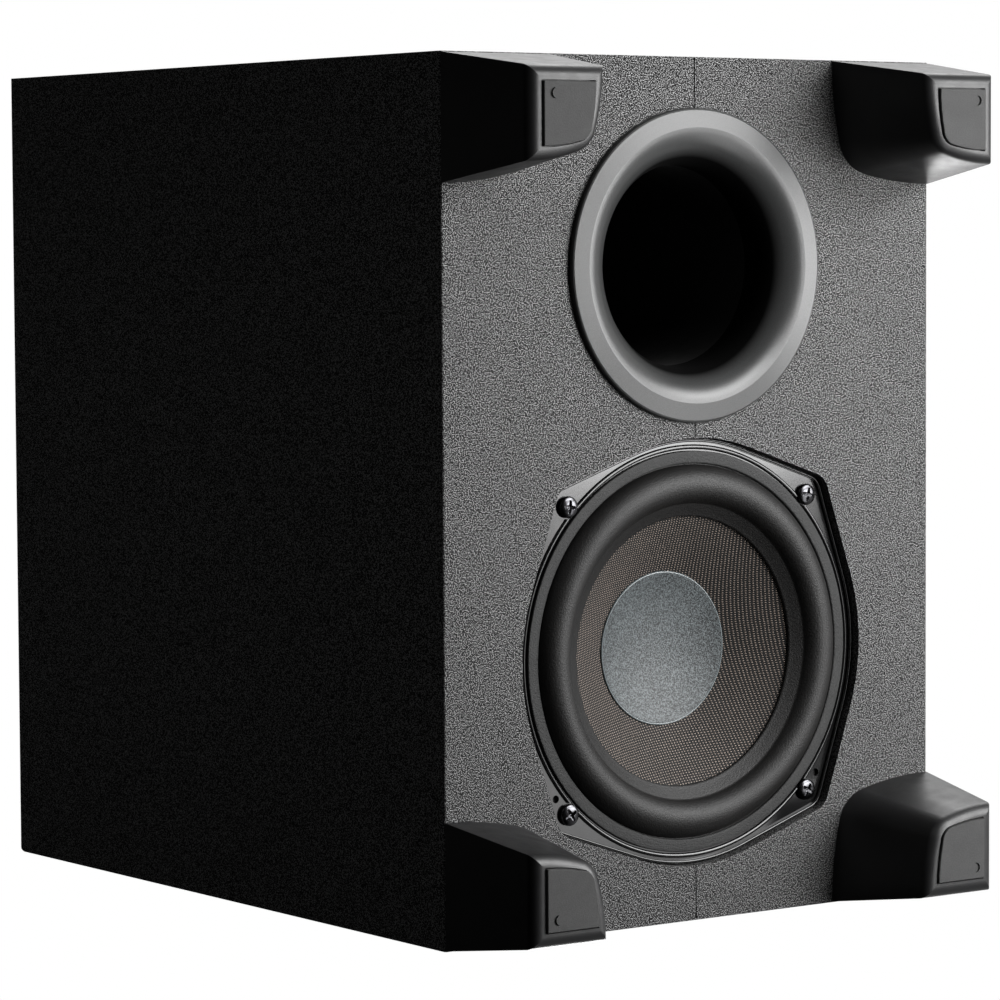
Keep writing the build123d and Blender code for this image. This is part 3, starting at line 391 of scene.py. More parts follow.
CAP_DARK = (0.001, 0.002, 0.003)
CAP_LIGHT = (0.112, 0.130, 0.136)
YARN = (0.245, 0.194, 0.160)
# painted shade colour for the gaps and low weft of the cone weave
YARN_GAP_SHADE = (0.001, 0.001, 0.001)
SPIDER_YARN = (0.50, 0.34, 0.12)
# painted shade colour for the gaps and low weft of the spider cloth
SPIDER_GAP_SHADE = (0.20, 0.13, 0.05)
cap_edge = (cap_high.x - cap_low.x) / 2
finishes = {
    "black_vinyl_board": pebble_vinyl(),
    "raw_board": fibreboard("fibreboard"),
    "foot_plastic": moulded("foot_plastic", (0.0075, 0.0075, 0.008), 0.42, 3200.0, 0.00002),
    "pad_rubber": rubber("pad_rubber", (0.041, 0.041, 0.041), 0.75, 1800.0, 0.00005),
    "port_plastic": flared_port("port_plastic", (0.033, 0.0338, 0.0338), 0.30, base_z),
    "tube_plastic": moulded("tube_plastic", (0.012, 0.012, 0.012), 0.6),
    "frame_steel": moulded("frame_enamel", (0.004, 0.004, 0.0042), 0.14, 900.0, 0.000003, 0.1),
    "gasket_foam": rubber("gasket_foam", (0.0115, 0.0117, 0.0117), 0.64, 1500.0, 0.0002, 0.8),
    "surround_rubber": rubber(
        "surround_rubber", (0.0045, 0.0042, 0.0040), 0.52, 1700.0, 0.00013, 0.8, 0.35
    ),
    "woven_fibre": woven("woven_fibre", YARN, YARN_GAP_SHADE, WEAVE_PITCH, WEAVE_ANGLE, 0.5, 0.00016),
    "cap_fibre": speckled(
        "cap_fibre", CAP_DARK, CAP_LIGHT, 0.52, 1700.0, 0.00013, cap_edge, driver_centre.y
    ),
    "coil_former": metal("former_foil", (0.75, 0.75, 0.76), 0.3),
    "copper_winding": metal("copper_winding", (0.62, 0.26, 0.12), 0.32, True, 0.00004),
    "spider_cloth": woven("spider_cloth", SPIDER_YARN, SPIDER_GAP_SHADE, 0.7 * MM, 0.0, 0.7, 0.0001),
    "zinc_steel": metal("zinc_steel", (0.58, 0.59, 0.61), 0.32),
    "ferrite": moulded("ferrite", (0.03, 0.03, 0.033), 0.7, 1200.0, 0.00008),
    "black_screw": metal("black_zinc", (0.075, 0.075, 0.08), 0.2),
    "fibre_strip": moulded("phenolic", (0.16, 0.07, 0.03), 0.5, 700.0),
    "tinned_metal": metal("tinned_metal", (0.72, 0.71, 0.68), 0.25),
    "braid": metal("copper_braid", (0.66, 0.42, 0.25), 0.4, True, 0.00006),
    "amp_plate_paint": moulded("powder_coat", (0.014, 0.014, 0.015), 0.55, 1100.0, 0.00009),
    "seal_foam": rubber("seal_foam", (0.02, 0.02, 0.02), 0.9, 1300.0, 0.0001),
    "socket_plastic": moulded("socket_plastic", (0.011, 0.011, 0.011), 0.3, 3000.0, 0.00001),
    "button_plastic": moulded("button_plastic", (0.022, 0.022, 0.022), 0.45, 3000.0, 0.00002),
    "switch_plastic": moulded("switch_plastic", (0.03, 0.03, 0.03), 0.5),
    "light_pipe": moulded("light_pipe", (0.55, 0.60, 0.62), 0.25, 3000.0, 0.00001, 0.05),
    "led_epoxy": moulded("led_epoxy", (0.75, 0.75, 0.62), 0.3),
    "circuit_board": circuit("circuit_board"),
    "brass_standoff": metal("turned_brass", (0.62, 0.45, 0.18), 0.28, True),
    "transformer_ferrite": moulded("transformer", (0.35, 0.24, 0.03), 0.5, 500.0),
    "capacitor_sleeve": moulded("capacitor_sleeve", (0.02, 0.025, 0.05), 0.3, 800.0),
    "sink_aluminium": metal("extruded_aluminium", (0.68, 0.69, 0.70), 0.35, True),
    "choke_core": moulded("choke_core", (0.035, 0.035, 0.038), 0.7, 900.0, 0.00006),
    "module_can": metal("shield_can", (0.62, 0.62, 0.60), 0.3),
    "connector_plastic": moulded("nylon", (0.62, 0.60, 0.52), 0.5, 1500.0),
    "lead_jacket": rubber("lead_jacket", (0.018, 0.018, 0.018), 0.6),
    "polyester_fill": felt("polyester_felt", (0.72, 0.72, 0.70)),
}
slot_of = {p["node"]: p["material_slot"] for p in frame["record"]["subparts"]}
for node_name, cad in nodes.items():
    cad.data.materials.clear()
    cad.data.materials.append(finishes[slot_of[node_name]])


# ------------------------------------------------------------------ mesh helpers
def new_piece(name, points, faces, slot, smooth_angle):
    mesh = bpy.data.meshes.new(name)
    mesh.from_pydata(points, [], faces)
    mesh.validate()
    shell = bmesh.new()
    shell.from_mesh(mesh)
    bmesh.ops.recalc_face_normals(shell, faces=shell.faces)
    shell.to_mesh(mesh)
    shell.free()
    mesh.update()
    piece = bpy.data.objects.new(name, mesh)
    bpy.context.scene.collection.objects.link(piece)
    mesh.materials.append(finishes[slot])
    mesh.shade_smooth()
    mesh.set_sharp_from_angle(angle=math.radians(smooth_angle))
    return piece


def lathe(name, profile, steps, slot, smooth_angle, shape=None):
    """Closed profile of (radius, z) turned about the driver's axis; a zero radius makes one pole point."""
    points, faces, index = [], [], {}
    for k, (radius, z) in enumerate(profile):
        for step in range(1 if radius == 0 else steps):
            angle = 2 * math.pi * step / steps
            x = driver_centre.x + radius * math.cos(angle)
            y = driver_centre.y + radius * math.sin(angle)
            point = Vector((x, y, z))
            index[k, step] = len(points)
            points.append(shape(point, angle) if shape else point)
        if radius == 0:
            index.update({(k, step): index[k, 0] for step in range(steps)})
    for step in range(steps):
        there = (step + 1) % steps
        for k in range(len(profile)):
            nxt = (k + 1) % len(profile)
            ring = (index[k, step], index[k, there], index[nxt, there], index[nxt, step])
            corners = list(dict.fromkeys(ring))
            if len(corners) > 2:
                faces.append(corners)
    return new_piece(name, points, faces, slot, smooth_angle)


def arc(centre, radius, start, end, steps):
    return [
        (
            centre[0] + radius * math.cos(math.radians(start + (end - start) * i / steps)),
            centre[1] + radius * math.sin(math.radians(start + (end - start) * i / steps)),
        )
        for i in range(steps + 1)
    ]


def through(a, b, c, steps):
    """Points on the circle arc from a through b to c."""
    ax, ay = a
    bx, by = b
    cx, cy = c
    d = 2 * (ax * (by - cy) + bx * (cy - ay) + cx * (ay - by))
    ux = ((ax**2 + ay**2) * (by - cy) + (bx**2 + by**2) * (cy - ay) + (cx**2 + cy**2) * (ay - by)) / d
    uy = ((ax**2 + ay**2) * (cx - bx) + (bx**2 + by**2) * (ax - cx) + (cx**2 + cy**2) * (bx - ax)) / d
    radius = math.hypot(ax - ux, ay - uy)
    first = math.atan2(ay - uy, ax - ux)
    middle = math.atan2(by - uy, bx - ux)
    last = math.atan2(cy - uy, cx - ux)
    turn = (last - first) % (2 * math.pi)
    if (middle - first) % (2 * math.pi) > turn:
        turn -= 2 * math.pi
    return [
        (ux + radius * math.cos(first + turn * i / steps), uy + radius * math.sin(first + turn * i / steps))
        for i in range(steps + 1)
    ]


# ------------------------------------------------------------------ rubber surround
roll_outer = 67.5 * MM
roll_inner = 53.6 * MM
cone_slope = 0.6
edge_radius = (cone_high.x - cone_low.x) / 2
land_inner = 48.7 * MM
front_face = ring_high.z + 0.02 * MM


def cone_front(radius):
    return cone_low.z + (edge_radius - radius) * cone_slope


land_thick = 0.8 * MM
roll_foot = cone_front(roll_inner) - land_thick
roll_top = roll_low.z
outer_land = (roll_high.x - roll_low.x) / 2
skin = 0.6 * MM
roll_middle = (roll_outer + roll_inner) / 2
roll_steps = 30
front = through((roll_outer, front_face), (roll_middle, roll_top), (roll_inner, roll_foot), roll_steps)
back = through(
    (roll_inner + 0.4 * MM, roll_foot + land_thick - 0.22 * MM),
    (roll_middle, roll_top + skin),
    (roll_outer - 0.5 * MM, front_face + skin),
    roll_steps,
)
land_radii = [land_inner + (roll_inner - land_inner) * t for t in (0.92, 0.7, 0.4, 0.12)]
surround_profile = (
    [(outer_land, front_face + skin), (outer_land, front_face)]
    + [(roll_outer + (outer_land - roll_outer) * t, front_face) for t in (0.6, 0.25, 0.08)]
    + front
    + [(radius, cone_front(radius) - land_thick) for radius in land_radii]
    + [
        (land_inner + 0.1 * MM, cone_front(land_inner) - land_thick - 0.12 * MM),
        (land_inner, cone_front(land_inner) - 0.85 * land_thick),
        (land_inner, cone_front(land_inner) - 0.04 * MM),
    ]
    + back
)
surround = lathe("surround_roll", surround_profile, 240, "surround_rubber", 55.0)
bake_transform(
    surround,
    "cabinet",
    "cone_assembly",
    start=(0, driver_centre.y, roll_low.z),
    end=(0, driver_centre.y, roll_high.z),
)


def eased(t):
    """Smooth step from 0 to 1."""
    return t * t * (3 - 2 * t)


def radial_blend(piece, fixed_radius, moving_radius):
    """Outer edge follows the cabinet and inner edge the cone, with a smooth roll in between."""
    mesh = piece.data
    weights = []
    for vertex in mesh.vertices:
        radius = math.hypot(vertex.co.x - driver_centre.x, vertex.co.y - driver_centre.y)
        t = min(1.0, max(0.0, (fixed_radius - radius) / (fixed_radius - moving_radius)))
        weights.append(eased(t))
    mesh.attributes["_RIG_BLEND"].data.foreach_set("value", np.array(weights, np.float32))


radial_blend(surround, roll_outer, roll_inner)
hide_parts("surround")

# ------------------------------------------------------------------ woven cone
neck = 19.2 * MM
cone_rings = 106
cone_spokes = 900


def weave_height(x, y):
    """Height of a plain weave over its mid plane, in units of the yarn's half thickness."""
    c, s = math.cos(WEAVE_ANGLE), math.sin(WEAVE_ANGLE)
    u = (x * c + y * s) / (2 * WEAVE_PITCH)
    v = (-x * s + y * c) / (2 * WEAVE_PITCH)
    iu, iv = math.floor(u), math.floor(v)
    fu, fv = u - iu, v - iv
    over = 1.0 if (iu + iv) % 2 == 0 else -1.0
    warp_yarn = over * math.sin(math.pi * fv) * 0.6 + math.sqrt(max(0.0, 1 - (2 * fu - 1) ** 2))
    weft_yarn = -over * math.sin(math.pi * fu) * 0.6 + math.sqrt(max(0.0, 1 - (2 * fv - 1) ** 2))
    return max(warp_yarn, weft_yarn) - 0.9


weave_depth = 0.05 * MM
weave_sink = 0.12 * MM
cone_thickness = 0.9 * MM
cone_points, cone_faces = [], []
for ring in range(cone_rings + 1):
    radius = edge_radius + (neck - edge_radius) * ring / cone_rings
    for spoke in range(cone_spokes):
        angle = 2 * math.pi * spoke / cone_spokes
        x = driver_centre.x + radius * math.cos(angle)
        y = driver_centre.y + radius * math.sin(angle)
        z = cone_front(radius) + weave_sink - weave_depth * weave_height(x, y)
        cone_points.append(Vector((x, y, z)))
for ring in range(cone_rings):
    for spoke in range(cone_spokes):
        a = ring * cone_spokes + spoke
        b = ring * cone_spokes + (spoke + 1) % cone_spokes
        cone_faces.append((a, a + cone_spokes, b + cone_spokes, b))
neck_back = len(cone_points)
edge_back = neck_back + cone_spokes
for radius in (neck, edge_radius):
    for spoke in range(cone_spokes):
        angle = 2 * math.pi * spoke / cone_spokes
        x = driver_centre.x + radius * math.cos(angle)
        y = driver_centre.y + radius * math.sin(angle)
        cone_points.append(Vector((x, y, cone_front(radius) + cone_thickness)))
neck_front = cone_rings * cone_spokes
for spoke in range(cone_spokes):
    nxt = (spoke + 1) % cone_spokes
    cone_faces.append((neck_front + spoke, neck_back + spoke, neck_back + nxt, neck_front + nxt))
    cone_faces.append((neck_back + spoke, edge_back + spoke, edge_back + nxt, neck_back + nxt))
    cone_faces.append((edge_back + spoke, spoke, nxt, edge_back + nxt))
cone = new_piece("woven_cone", cone_points, cone_faces, "woven_fibre", 80.0)
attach(cone, "cone_assembly")
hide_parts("cone")

# ------------------------------------------------------------------ inverted dust cap with a rolled rim
rim_z = cap_low.z
dish = 4.6 * MM
cap_thick = 0.7 * MM
dish_edge = cap_edge - 0.9 * MM
sphere = (dish_edge**2 + dish**2) / (2 * dish)
sphere_z = rim_z + 0.15 * MM + dish - sphere
cap_profile = [(0, sphere_z + sphere + cap_thick)]
for i in range(1, 25):
    r = (dish_edge - 1.0 * MM) * i / 24
    cap_profile.append((r, sphere_z + math.sqrt((sphere + cap_thick) ** 2 - r**2)))
cap_profile += [(cap_edge - 0.02 * MM, cone_front(cap_edge) - 0.12 * MM)]
cap_profile += arc((cap_edge - 0.45 * MM, rim_z + 0.42 * MM), 0.42 * MM, 0, -180, 8)[0:8]
for i in range(27):
    r = dish_edge * (26 - i) / 26
    cap_profile.append((r, sphere_z + math.sqrt(sphere**2 - r**2)))
dust_cap = lathe("dust_cap_dish", cap_profile, 180, "cap_fibre", 60.0)
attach(dust_cap, "cone_assembly")
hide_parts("dust_cap")

# ------------------------------------------------------------------ foam gasket ring
ring_inner = 67.8 * MM
ring_outer = (ring_high.x - ring_low.x) / 2


def foam_shape(point, angle):
    """Slightly uneven die-cut foam."""
    wave = noise.noise(Vector((math.cos(angle), math.sin(angle), 0)) * 9.0)
    lifted = point.z + 0.05 * MM * wave
    return Vector((point.x, point.y, min(lifted, ring_high.z - 0.005 * MM)))


ring_profile = (
    [(ring_outer, ring_high.z - 0.01 * MM)]
    + arc((ring_outer - 0.35 * MM, ring_low.z + 0.4 * MM), 0.35 * MM, 0, -90, 4)
    + [(ring_inner + (ring_outer - ring_inner) * t, ring_low.z + 0.03 * MM) for t in (0.75, 0.5)]
    + arc((ring_inner + 0.7 * MM, ring_low.z + 0.75 * MM), 0.7 * MM, -90, -180, 6)
    + [(ring_inner, ring_high.z - 0.01 * MM)]
)
gasket = lathe("foam_gasket", ring_profile, 240, "gasket_foam", 60.0, foam_shape)
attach(gasket, "cabinet")
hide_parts("gasket_ring")

# ------------------------------------------------------------------ cross-recessed driver screws
screw_low, screw_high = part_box("driver_screws")
HEAD_RADIUS = 3.9 * MM
HEAD_HEIGHT = 2.3 * MM
HEAD_DOME = 1.15 * MM
SHANK_RADIUS = 1.9 * MM
ARM_LENGTH = 2.45 * MM
ARM_WIDTH = 0.62 * MM
RECESS_DEPTH = 1.35 * MM
THREAD_PITCH = 1.2 * MM


def recess_depth(x, y):
    """Depth of a flared cross recess at a point of the head, measured from the middle."""
    deepest = 0.0
    for along, across in ((abs(x), abs(y)), (abs(y), abs(x))):
        half_width = ARM_WIDTH * (1.15 - 0.45 * along / ARM_LENGTH)
        wall = min(half_width - across, ARM_LENGTH - along) / (0.16 * MM)
        share = min(1.0, max(0.0, wall + 0.5))
        deepest = max(deepest, share * RECESS_DEPTH * (1.0 - 0.45 * along / ARM_LENGTH))
    return deepest


def screw_mesh(centre_x, centre_y, turn):
    """Pan head as a polar height field with its cross recess, then a side, an underside and a shank."""
    head_rings, spokes = 40, 112
    seat = screw_low.z + HEAD_HEIGHT
    outline = [(HEAD_RADIUS * i / head_rings, None) for i in range(1, head_rings + 1)]
    outline += [(HEAD_RADIUS, seat - 0.1 * MM), (HEAD_RADIUS - 0.12 * MM, seat), (SHANK_RADIUS, seat)]
    z = seat
    while z < screw_high.z - 3.6 * MM:
        outline += [(SHANK_RADIUS, z + 0.1 * MM), (SHANK_RADIUS * 0.78, z + 0.6 * MM)]
        z += THREAD_PITCH
    outline += [(SHANK_RADIUS * 0.9, screw_high.z - 3.0 * MM)]
    start = screw_low.z
    points = [Vector((centre_x, centre_y, start + RECESS_DEPTH))]
    for radius, height in outline:
        for spoke in range(spokes):
            angle = 2 * math.pi * spoke / spokes
            x, y = radius * math.cos(angle), radius * math.sin(angle)
            level = height
            if height is None:
                level = start + HEAD_DOME * (1 - math.sqrt(max(0.0, 1 - (radius / HEAD_RADIUS) ** 2)))
                along = x * math.cos(turn) + y * math.sin(turn)
                across = -x * math.sin(turn) + y * math.cos(turn)
                level = max(level, start + recess_depth(along, across))
            points.append(Vector((centre_x + x, centre_y + y, level)))
    tip = len(points)
    points.append(Vector((centre_x, centre_y, screw_high.z)))
    faces = [(0, 1 + (k + 1) % spokes, 1 + k) for k in range(spokes)]
    for ring in range(len(outline) - 1):
        for k in range(spokes):
            a = 1 + ring * spokes + k
            b = 1 + ring * spokes + (k + 1) % spokes
            faces.append((a, b, b + spokes, a + spokes))
    last = 1 + (len(outline) - 1) * spokes
    faces += [(last + k, last + (k + 1) % spokes, tip) for k in range(spokes)]
    return points, faces


screw_places = [
    (cx, cy)
    for cx in (screw_low.x + HEAD_RADIUS, screw_high.x - HEAD_RADIUS)
    for cy in (screw_low.y + HEAD_RADIUS, screw_high.y - HEAD_RADIUS)
]
screw_points, screw_faces = [], []
for cx, cy in screw_places:
    new_points, new_faces = screw_mesh(cx, cy, random.uniform(0.0, math.pi / 2))
    screw_faces += [tuple(len(screw_points) + i for i in face) for face in new_faces]
    screw_points += new_points
screws = new_piece("cross_recess_screws", screw_points, screw_faces, "black_screw", 32.0)
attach(screws, "cabinet")
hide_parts("driver_screws")

# ------------------------------------------------------------------ rolled edge of the pressed frame
def hull(points):
    """Convex outline of flat points, anticlockwise."""
    chains = []
    for ordered in (sorted(points), sorted(points, reverse=True)):
        chain = []
        for p in ordered:
            while len(chain) > 1:
                (ax, ay), (bx, by) = chain[-2:]
                if (bx - ax) * (p[1] - ay) - (by - ay) * (p[0] - ax) > 0:
                    break
                chain.pop()
            chain.append(p)
        chains.append(chain[:-1])
    return chains[0] + chains[1]


LIP_INSET = 0.55 * MM
EAR_RADIUS = 7.4 * MM
LIP_FRONT = 3.4 * MM
BEAD_RADIUS = 0.5 * MM
frame_radius = (frame_high.x - frame_low.x) / 2
circle_points = []
circles = [(driver_centre.x, driver_centre.y, frame_radius - LIP_INSET, 360)]
circles += [(cx, cy, EAR_RADIUS - LIP_INSET, 72) for cx, cy in screw_places]
for cx, cy, radius, count in circles:
    for k in range(count):
        angle = 2 * math.pi * k / count
        circle_points.append((cx + radius * math.cos(angle), cy + radius * math.sin(angle)))
lip_path = hull(circle_points)
bead_points, bead_faces = [], []
BEAD_SIDES = 14
bead_z = base_z + LIP_FRONT + 0.12 * MM
for i, (x, y) in enumerate(lip_path):
    before, after = lip_path[i - 1], lip_path[(i + 1) % len(lip_path)]
    outward = Vector((after[1] - before[1], before[0] - after[0], 0)).normalized()
    for k in range(BEAD_SIDES):
        angle = 2 * math.pi * k / BEAD_SIDES
        middle = Vector((x, y, bead_z - BEAD_RADIUS * math.cos(angle)))
        bead_points.append(middle + outward * BEAD_RADIUS * math.sin(angle))
for i in range(len(lip_path)):
    here, there = i * BEAD_SIDES, (i + 1) % len(lip_path) * BEAD_SIDES
    for k in range(BEAD_SIDES):
        nxt = (k + 1) % BEAD_SIDES
        bead_faces.append((here + k, here + nxt, there + nxt, there + k))
lip_bead = new_piece("frame_lip_bead", bead_points, bead_faces, "frame_steel", 60.0)
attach(lip_bead, "cabinet")

# ------------------------------------------------------------------ spider, tinsel leads and wadding
spider_low, spider_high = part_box("spider")
spider_outer = (spider_high.x - spider_low.x) / 2
spider_mid = (spider_low.z + spider_high.z) / 2
spider_flat = spider_outer - 5.0 * MM
spider_waves, spider_samples = 4, 90
spider_start = neck + 1.2 * MM
wave_height = 1.05 * MM
half_cloth = 0.22 * MM
spider_front, spider_back = [], []
for i in range(spider_samples + 1):
    r = neck + (spider_outer - neck) * i / spider_samples
    t = (r - spider_start) / (spider_flat - spider_start)
    swing = 0.0
    if 0 < t < 1:
        swing = math.sin(2 * math.pi * spider_waves * t) * min(1, 8 * t, 8 * (1 - t))
    middle = spider_mid + wave_height * swing
    spider_front.append((r, middle - half_cloth))
    spider_back.append((r, middle + half_cloth))
spider_profile = spider_front + spider_back[::-1]
spider = lathe("spider_disc", spider_profile, 160, "spider_cloth", 60.0)
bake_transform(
    spider,
    "cabinet",
    "cone_assembly",
    start=(0, driver_centre.y, spider_low.z),
    end=(0, driver_centre.y, spider_high.z),
)
radial_blend(spider, spider_flat, spider_start)
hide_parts("spider")


def tube_along(name, curves, radius, slot, sides, twist):
    """Round tube along each list of points, with closed ends; twist gives the surface a braid."""
    points, faces, shares = [], [], []
    for line in curves:
        start = len(points)
        across = Vector((0, 0, 1))
        for i, here in enumerate(line):
            ahead = line[min(i + 1, len(line) - 1)] - line[max(i - 1, 0)]
            ahead.normalize()
            side = ahead.cross(across)
            if side.length < 1e-6:
                side = ahead.cross(Vector((0, 1, 0)))
            side.normalize()
            other = side.cross(ahead)
            for k in range(sides):
                angle = 2 * math.pi * k / sides
                bulge = radius * (1 + 0.12 * math.cos(5 * angle + twist * i))
                points.append(here + side * math.cos(angle) * bulge + other * math.sin(angle) * bulge)
                shares.append(i / (len(line) - 1))
        for i in range(len(line) - 1):
            for k in range(sides):
                a = start + i * sides + k
                b = start + i * sides + (k + 1) % sides
                faces.append((a, b, b + sides, a + sides))
        faces.append(tuple(start + k for k in reversed(range(sides))))
        end = start + (len(line) - 1) * sides
        faces.append(tuple(end + k for k in range(sides)))
    return new_piece(name, points, faces, slot, 50.0), shares


def smooth_line(controls, steps):
    """Catmull-Rom line through the control points."""
    line = []
    padded = [controls[0] * 2 - controls[1], *controls, controls[-1] * 2 - controls[-2]]
    for a, b, c, d in zip(padded, padded[1:], padded[2:], padded[3:]):
        for i in range(steps):
            t = i / steps
            square_term = (2 * a - 5 * b + 4 * c - d) * t * t
            cube_term = (3 * b - a - 3 * c + d) * t**3
            line.append(0.5 * (2 * b + (c - a) * t + square_term + cube_term))
    line.append(controls[-1].copy())
    return line


tinsel_low, tinsel_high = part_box("tinsel_leads")
cone_back_at_lead = cone_front(math.hypot(38.0, 8.5) * MM) + cone_thickness
tinsel_curves = []
cy = driver_centre.y
for side in (-1, 1):
    route = [
        Vector((-44.3 * MM, cy + side * 6.5 * MM, base_z + 35.5 * MM)),
        Vector((-52.0 * MM, cy + side * 7.5 * MM, base_z + 29.0 * MM)),
        Vector((-49.5 * MM, cy + side * 8.5 * MM, base_z + 20.5 * MM)),
        Vector((-38.0 * MM, cy + side * 8.5 * MM, cone_back_at_lead + 1.0 * MM)),
    ]
    tinsel_curves.append(smooth_line(route, 14))
tinsel, tinsel_share = tube_along("tinsel_braids", tinsel_curves, 0.55 * MM, "braid", 20, 0.7)
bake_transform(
    tinsel,
    "cabinet",
    "cone_assembly",
    start=(0, driver_centre.y, tinsel_high.z),
    end=(0, driver_centre.y, tinsel_low.z),
)
tinsel.data.attributes["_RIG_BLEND"].data.foreach_set(
    "value", np.array([eased(t) for t in tinsel_share], np.float32)
)
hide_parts("tinsel_leads")

wad_low, wad_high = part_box("damping_wadding")
wad_thick = 13.5 * MM
wad_path = [
    Vector((0, wad_high.y, wad_high.z - wad_thick / 2)),
    Vector((0, wad_low.y + 22 * MM, wad_high.z - wad_thick / 2)),
    Vector((0, wad_low.y + 12 * MM, wad_high.z - wad_thick / 2 - 3 * MM)),
    Vector((0, wad_low.y + wad_thick / 2, wad_high.z - 16 * MM)),
    Vector((0, wad_low.y + wad_thick / 2, wad_low.z)),
]
across_steps = 46
wad_line = []
for a, b in zip(wad_path, wad_path[1:]):
    steps = max(2, int((b - a).length / (4 * MM)))
    wad_line += [a + (b - a) * i / steps for i in range(steps)]
wad_line.append(wad_path[-1])
wad_points, wad_faces = [], []
columns = across_steps + 1
for face_side in (-1, 1):
    for i, here in enumerate(wad_line):
        along = (wad_line[min(i + 1, len(wad_line) - 1)] - wad_line[max(i - 1, 0)]).normalized()
        normal = Vector((1, 0, 0)).cross(along)
        end_taper = min(1.0, (i + 0.6) / 3, (len(wad_line) - 0.4 - i) / 3)
        for j in range(columns):
            t = j / across_steps
            edge_taper = min(1.0, (min(t, 1 - t) * across_steps + 0.6) / 3)
            x = wad_low.x + (wad_high.x - wad_low.x) * t
            seed = Vector((x, here.y, here.z)) * 55.0
            loft = 0.5 * wad_thick * math.sqrt(end_taper * edge_taper)
            loft *= 0.9 + 0.1 * noise.noise(seed + Vector((0, 0, 7.0 * face_side)))
            wad_points.append(Vector((x, here.y, here.z)) + normal * face_side * loft)
rows = len(wad_line)
layer = rows * columns
for i in range(rows - 1):
    for j in range(columns - 1):
        a = i * columns + j
        wad_faces.append((a, a + 1, a + 1 + columns, a + columns))
        b = a + layer
        wad_faces.append((b, b + columns, b + 1 + columns, b + 1))
for i in range(rows - 1):
    for j in (0, columns - 1):
        a = i * columns + j
        quad = (a, a + columns, a + columns + layer, a + layer)
        wad_faces.append(quad if j == 0 else quad[::-1])
for j in range(columns - 1):
    for i in (0, rows - 1):
        a = i * columns + j
        quad = (a, a + layer, a + layer + 1, a + 1)
        wad_faces.append(quad if i == 0 else quad[::-1])
wadding = new_piece("polyester_wadding", wad_points, wad_faces, "polyester_fill", 80.0)
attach(wadding, "cabinet")
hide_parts("damping_wadding")

# ------------------------------------------------------------------ floor, light, world
floor_size = 6.0
floor_mesh = bpy.data.meshes.new("floor")
floor_corners = [(x * floor_size, y * floor_size, 0) for x, y in ((-1, -1), (1, -1), (1, 1), (-1, 1))]
floor_mesh.from_pydata(floor_corners, [], [(0, 1, 2, 3)])
floor = bpy.data.objects.new("floor", floor_mesh)
bpy.context.scene.collection.objects.link(floor)
paper = Shader("pale_floor", (0.8, 0.8, 0.8), 0.9)
paper.join(paper.mix(paper.noise(3.0), (0.78, 0.78, 0.78), (0.82, 0.82, 0.82)), "Base Color")
paper.set("Emission Color", (1.0, 1.0, 1.0, 1.0))
paper.set("Emission Strength", 0.4)
glassy = paper.tree.nodes.new("ShaderNodeBsdfTransparent")
chooser = paper.tree.nodes.new("ShaderNodeMixShader")
from_below = paper.tree.nodes.new("ShaderNodeNewGeometry").outputs["Backfacing"]
seen_directly = paper.tree.nodes.new("ShaderNodeLightPath").outputs["Is Camera Ray"]
apart = paper.add("ShaderNodeSeparateXYZ", {0: paper.coords}).outputs
beside = paper.math("MAXIMUM", paper.math("ABSOLUTE", apart[0]), paper.math("ABSOLUTE", apart[1]))
below = paper.span(beside, 0.2, 0.26, 1.0, 0.0)
under = paper.math("MULTIPLY", below, paper.math("SUBTRACT", 1.0, seen_directly))
paper.tree.links.new(paper.math("MAXIMUM", from_below, under), chooser.inputs[0])
paper.tree.links.new(paper.surface.outputs[0], chooser.inputs[1])
paper.tree.links.new(glassy.outputs[0], chooser.inputs[2])
paper.tree.links.new(chooser.outputs[0], paper.output.inputs[0])
floor_mesh.materials.append(paper.material)
floor.visible_shadow = False
floor.visible_diffuse = False
floor.visible_glossy = False


def soft_light(name, place, target, width, height, radiance):
    """Rectangular soft box, its height along Y, whose strength is the brightness of its face."""
    data = bpy.data.lights.new(name, "AREA")
    data.shape = "RECTANGLE"
    data.size = width
    data.size_y = height
    data.energy = radiance * math.pi * width * height
    lamp = bpy.data.objects.new(name, data)
    bpy.context.scene.collection.objects.link(lamp)
    aim = (Vector(target) - Vector(place)).normalized()
    across = aim.cross(Vector((0, 1, 0))).normalized()
    along = across.cross(aim)
    turn = Matrix((across, along, -aim)).transposed()
    lamp.matrix_world = Matrix.Translation(place) @ turn.to_4x4()


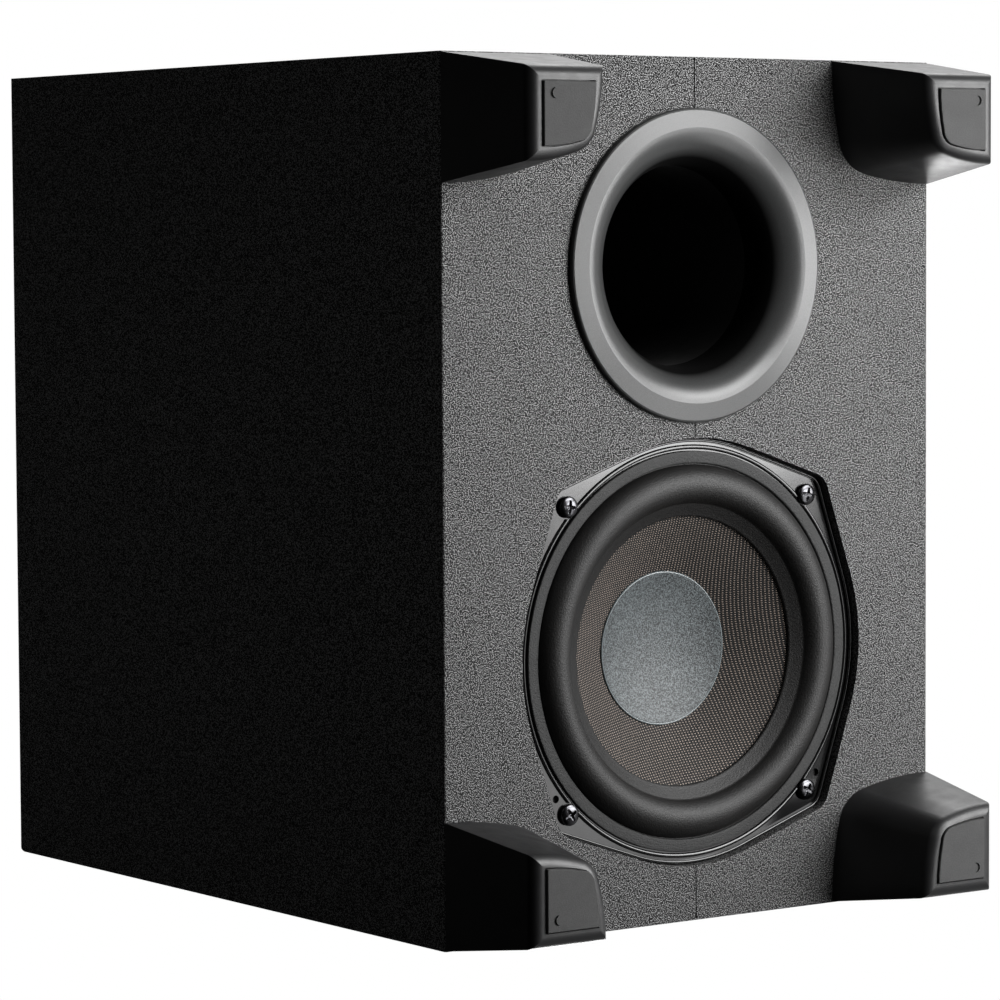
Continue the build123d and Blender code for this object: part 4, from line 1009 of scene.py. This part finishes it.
under_centre = (-0.02, 0.05, base_z)
soft_light("under_key", (-0.504, 0.066, base_z - 0.591), under_centre, 0.593, 0.216, 13.4)
soft_light("under_strip", (-0.188, 0.022, base_z - 0.27), under_centre, 0.12, 0.412, 3.4)
soft_light("under_rear", (-0.495, 0.442, base_z - 0.695), under_centre, 0.68, 0.288, 13.4)
soft_light("overhead", (-0.9, -1.3, 1.9), (0.0, 0.0, 0.15), 1.4, 1.4, 10.0)
side_middle = (cad_box[1][0], 0.0, (cad_box[0][2] + cad_box[1][2]) / 2)
side_sheen = tuple(m + 1.6 * d for m, d in zip(side_middle, (0.585, -0.065, 0.809)))
side_low = tuple(m + 1.6 * d for m, d in zip(side_middle, (0.64, 0.64, -0.42)))
soft_light("side_sheen", side_sheen, side_middle, 0.3, 0.3, 0.8)
soft_light("side_low", side_low, side_middle, 0.9, 0.9, 0.5)
soft_light("rear_fill", (-1.2, 1.5, 1.2), (0.0, 0.0, 0.15), 1.2, 1.2, 4.0)

world = bpy.data.worlds.new("studio")
bpy.context.scene.world = world
world.use_nodes = True
tree = world.node_tree
tree.nodes.clear()
out = tree.nodes.new("ShaderNodeOutputWorld")
seen = tree.nodes.new("ShaderNodeBackground")
seen.inputs[0].default_value = (1.0, 1.0, 1.0, 1.0)
room = tree.nodes.new("ShaderNodeBackground")
direction = tree.nodes.new("ShaderNodeTexCoord").outputs["Generated"]
beyond = tree.nodes.new("ShaderNodeVectorMath")
beyond.operation = "DOT_PRODUCT"
beyond.inputs[1].default_value = (-1.0, 0.2, 0.15)
tree.links.new(direction, beyond.inputs[0])
ramp = tree.nodes.new("ShaderNodeMapRange")
ramp.inputs["From Min"].default_value = 0.05
ramp.inputs["From Max"].default_value = 0.7
ramp.inputs["To Min"].default_value = 0.002
ramp.inputs["To Max"].default_value = 0.5
tree.links.new(beyond.outputs["Value"], ramp.inputs["Value"])
tree.links.new(ramp.outputs[0], room.inputs[0])
path = tree.nodes.new("ShaderNodeLightPath").outputs["Is Camera Ray"]
pick = tree.nodes.new("ShaderNodeMixShader")
tree.links.new(path, pick.inputs[0])
tree.links.new(room.outputs[0], pick.inputs[1])
tree.links.new(seen.outputs[0], pick.inputs[2])
tree.links.new(pick.outputs[0], out.inputs[0])
bpy.context.scene.view_settings.view_transform = "Standard"
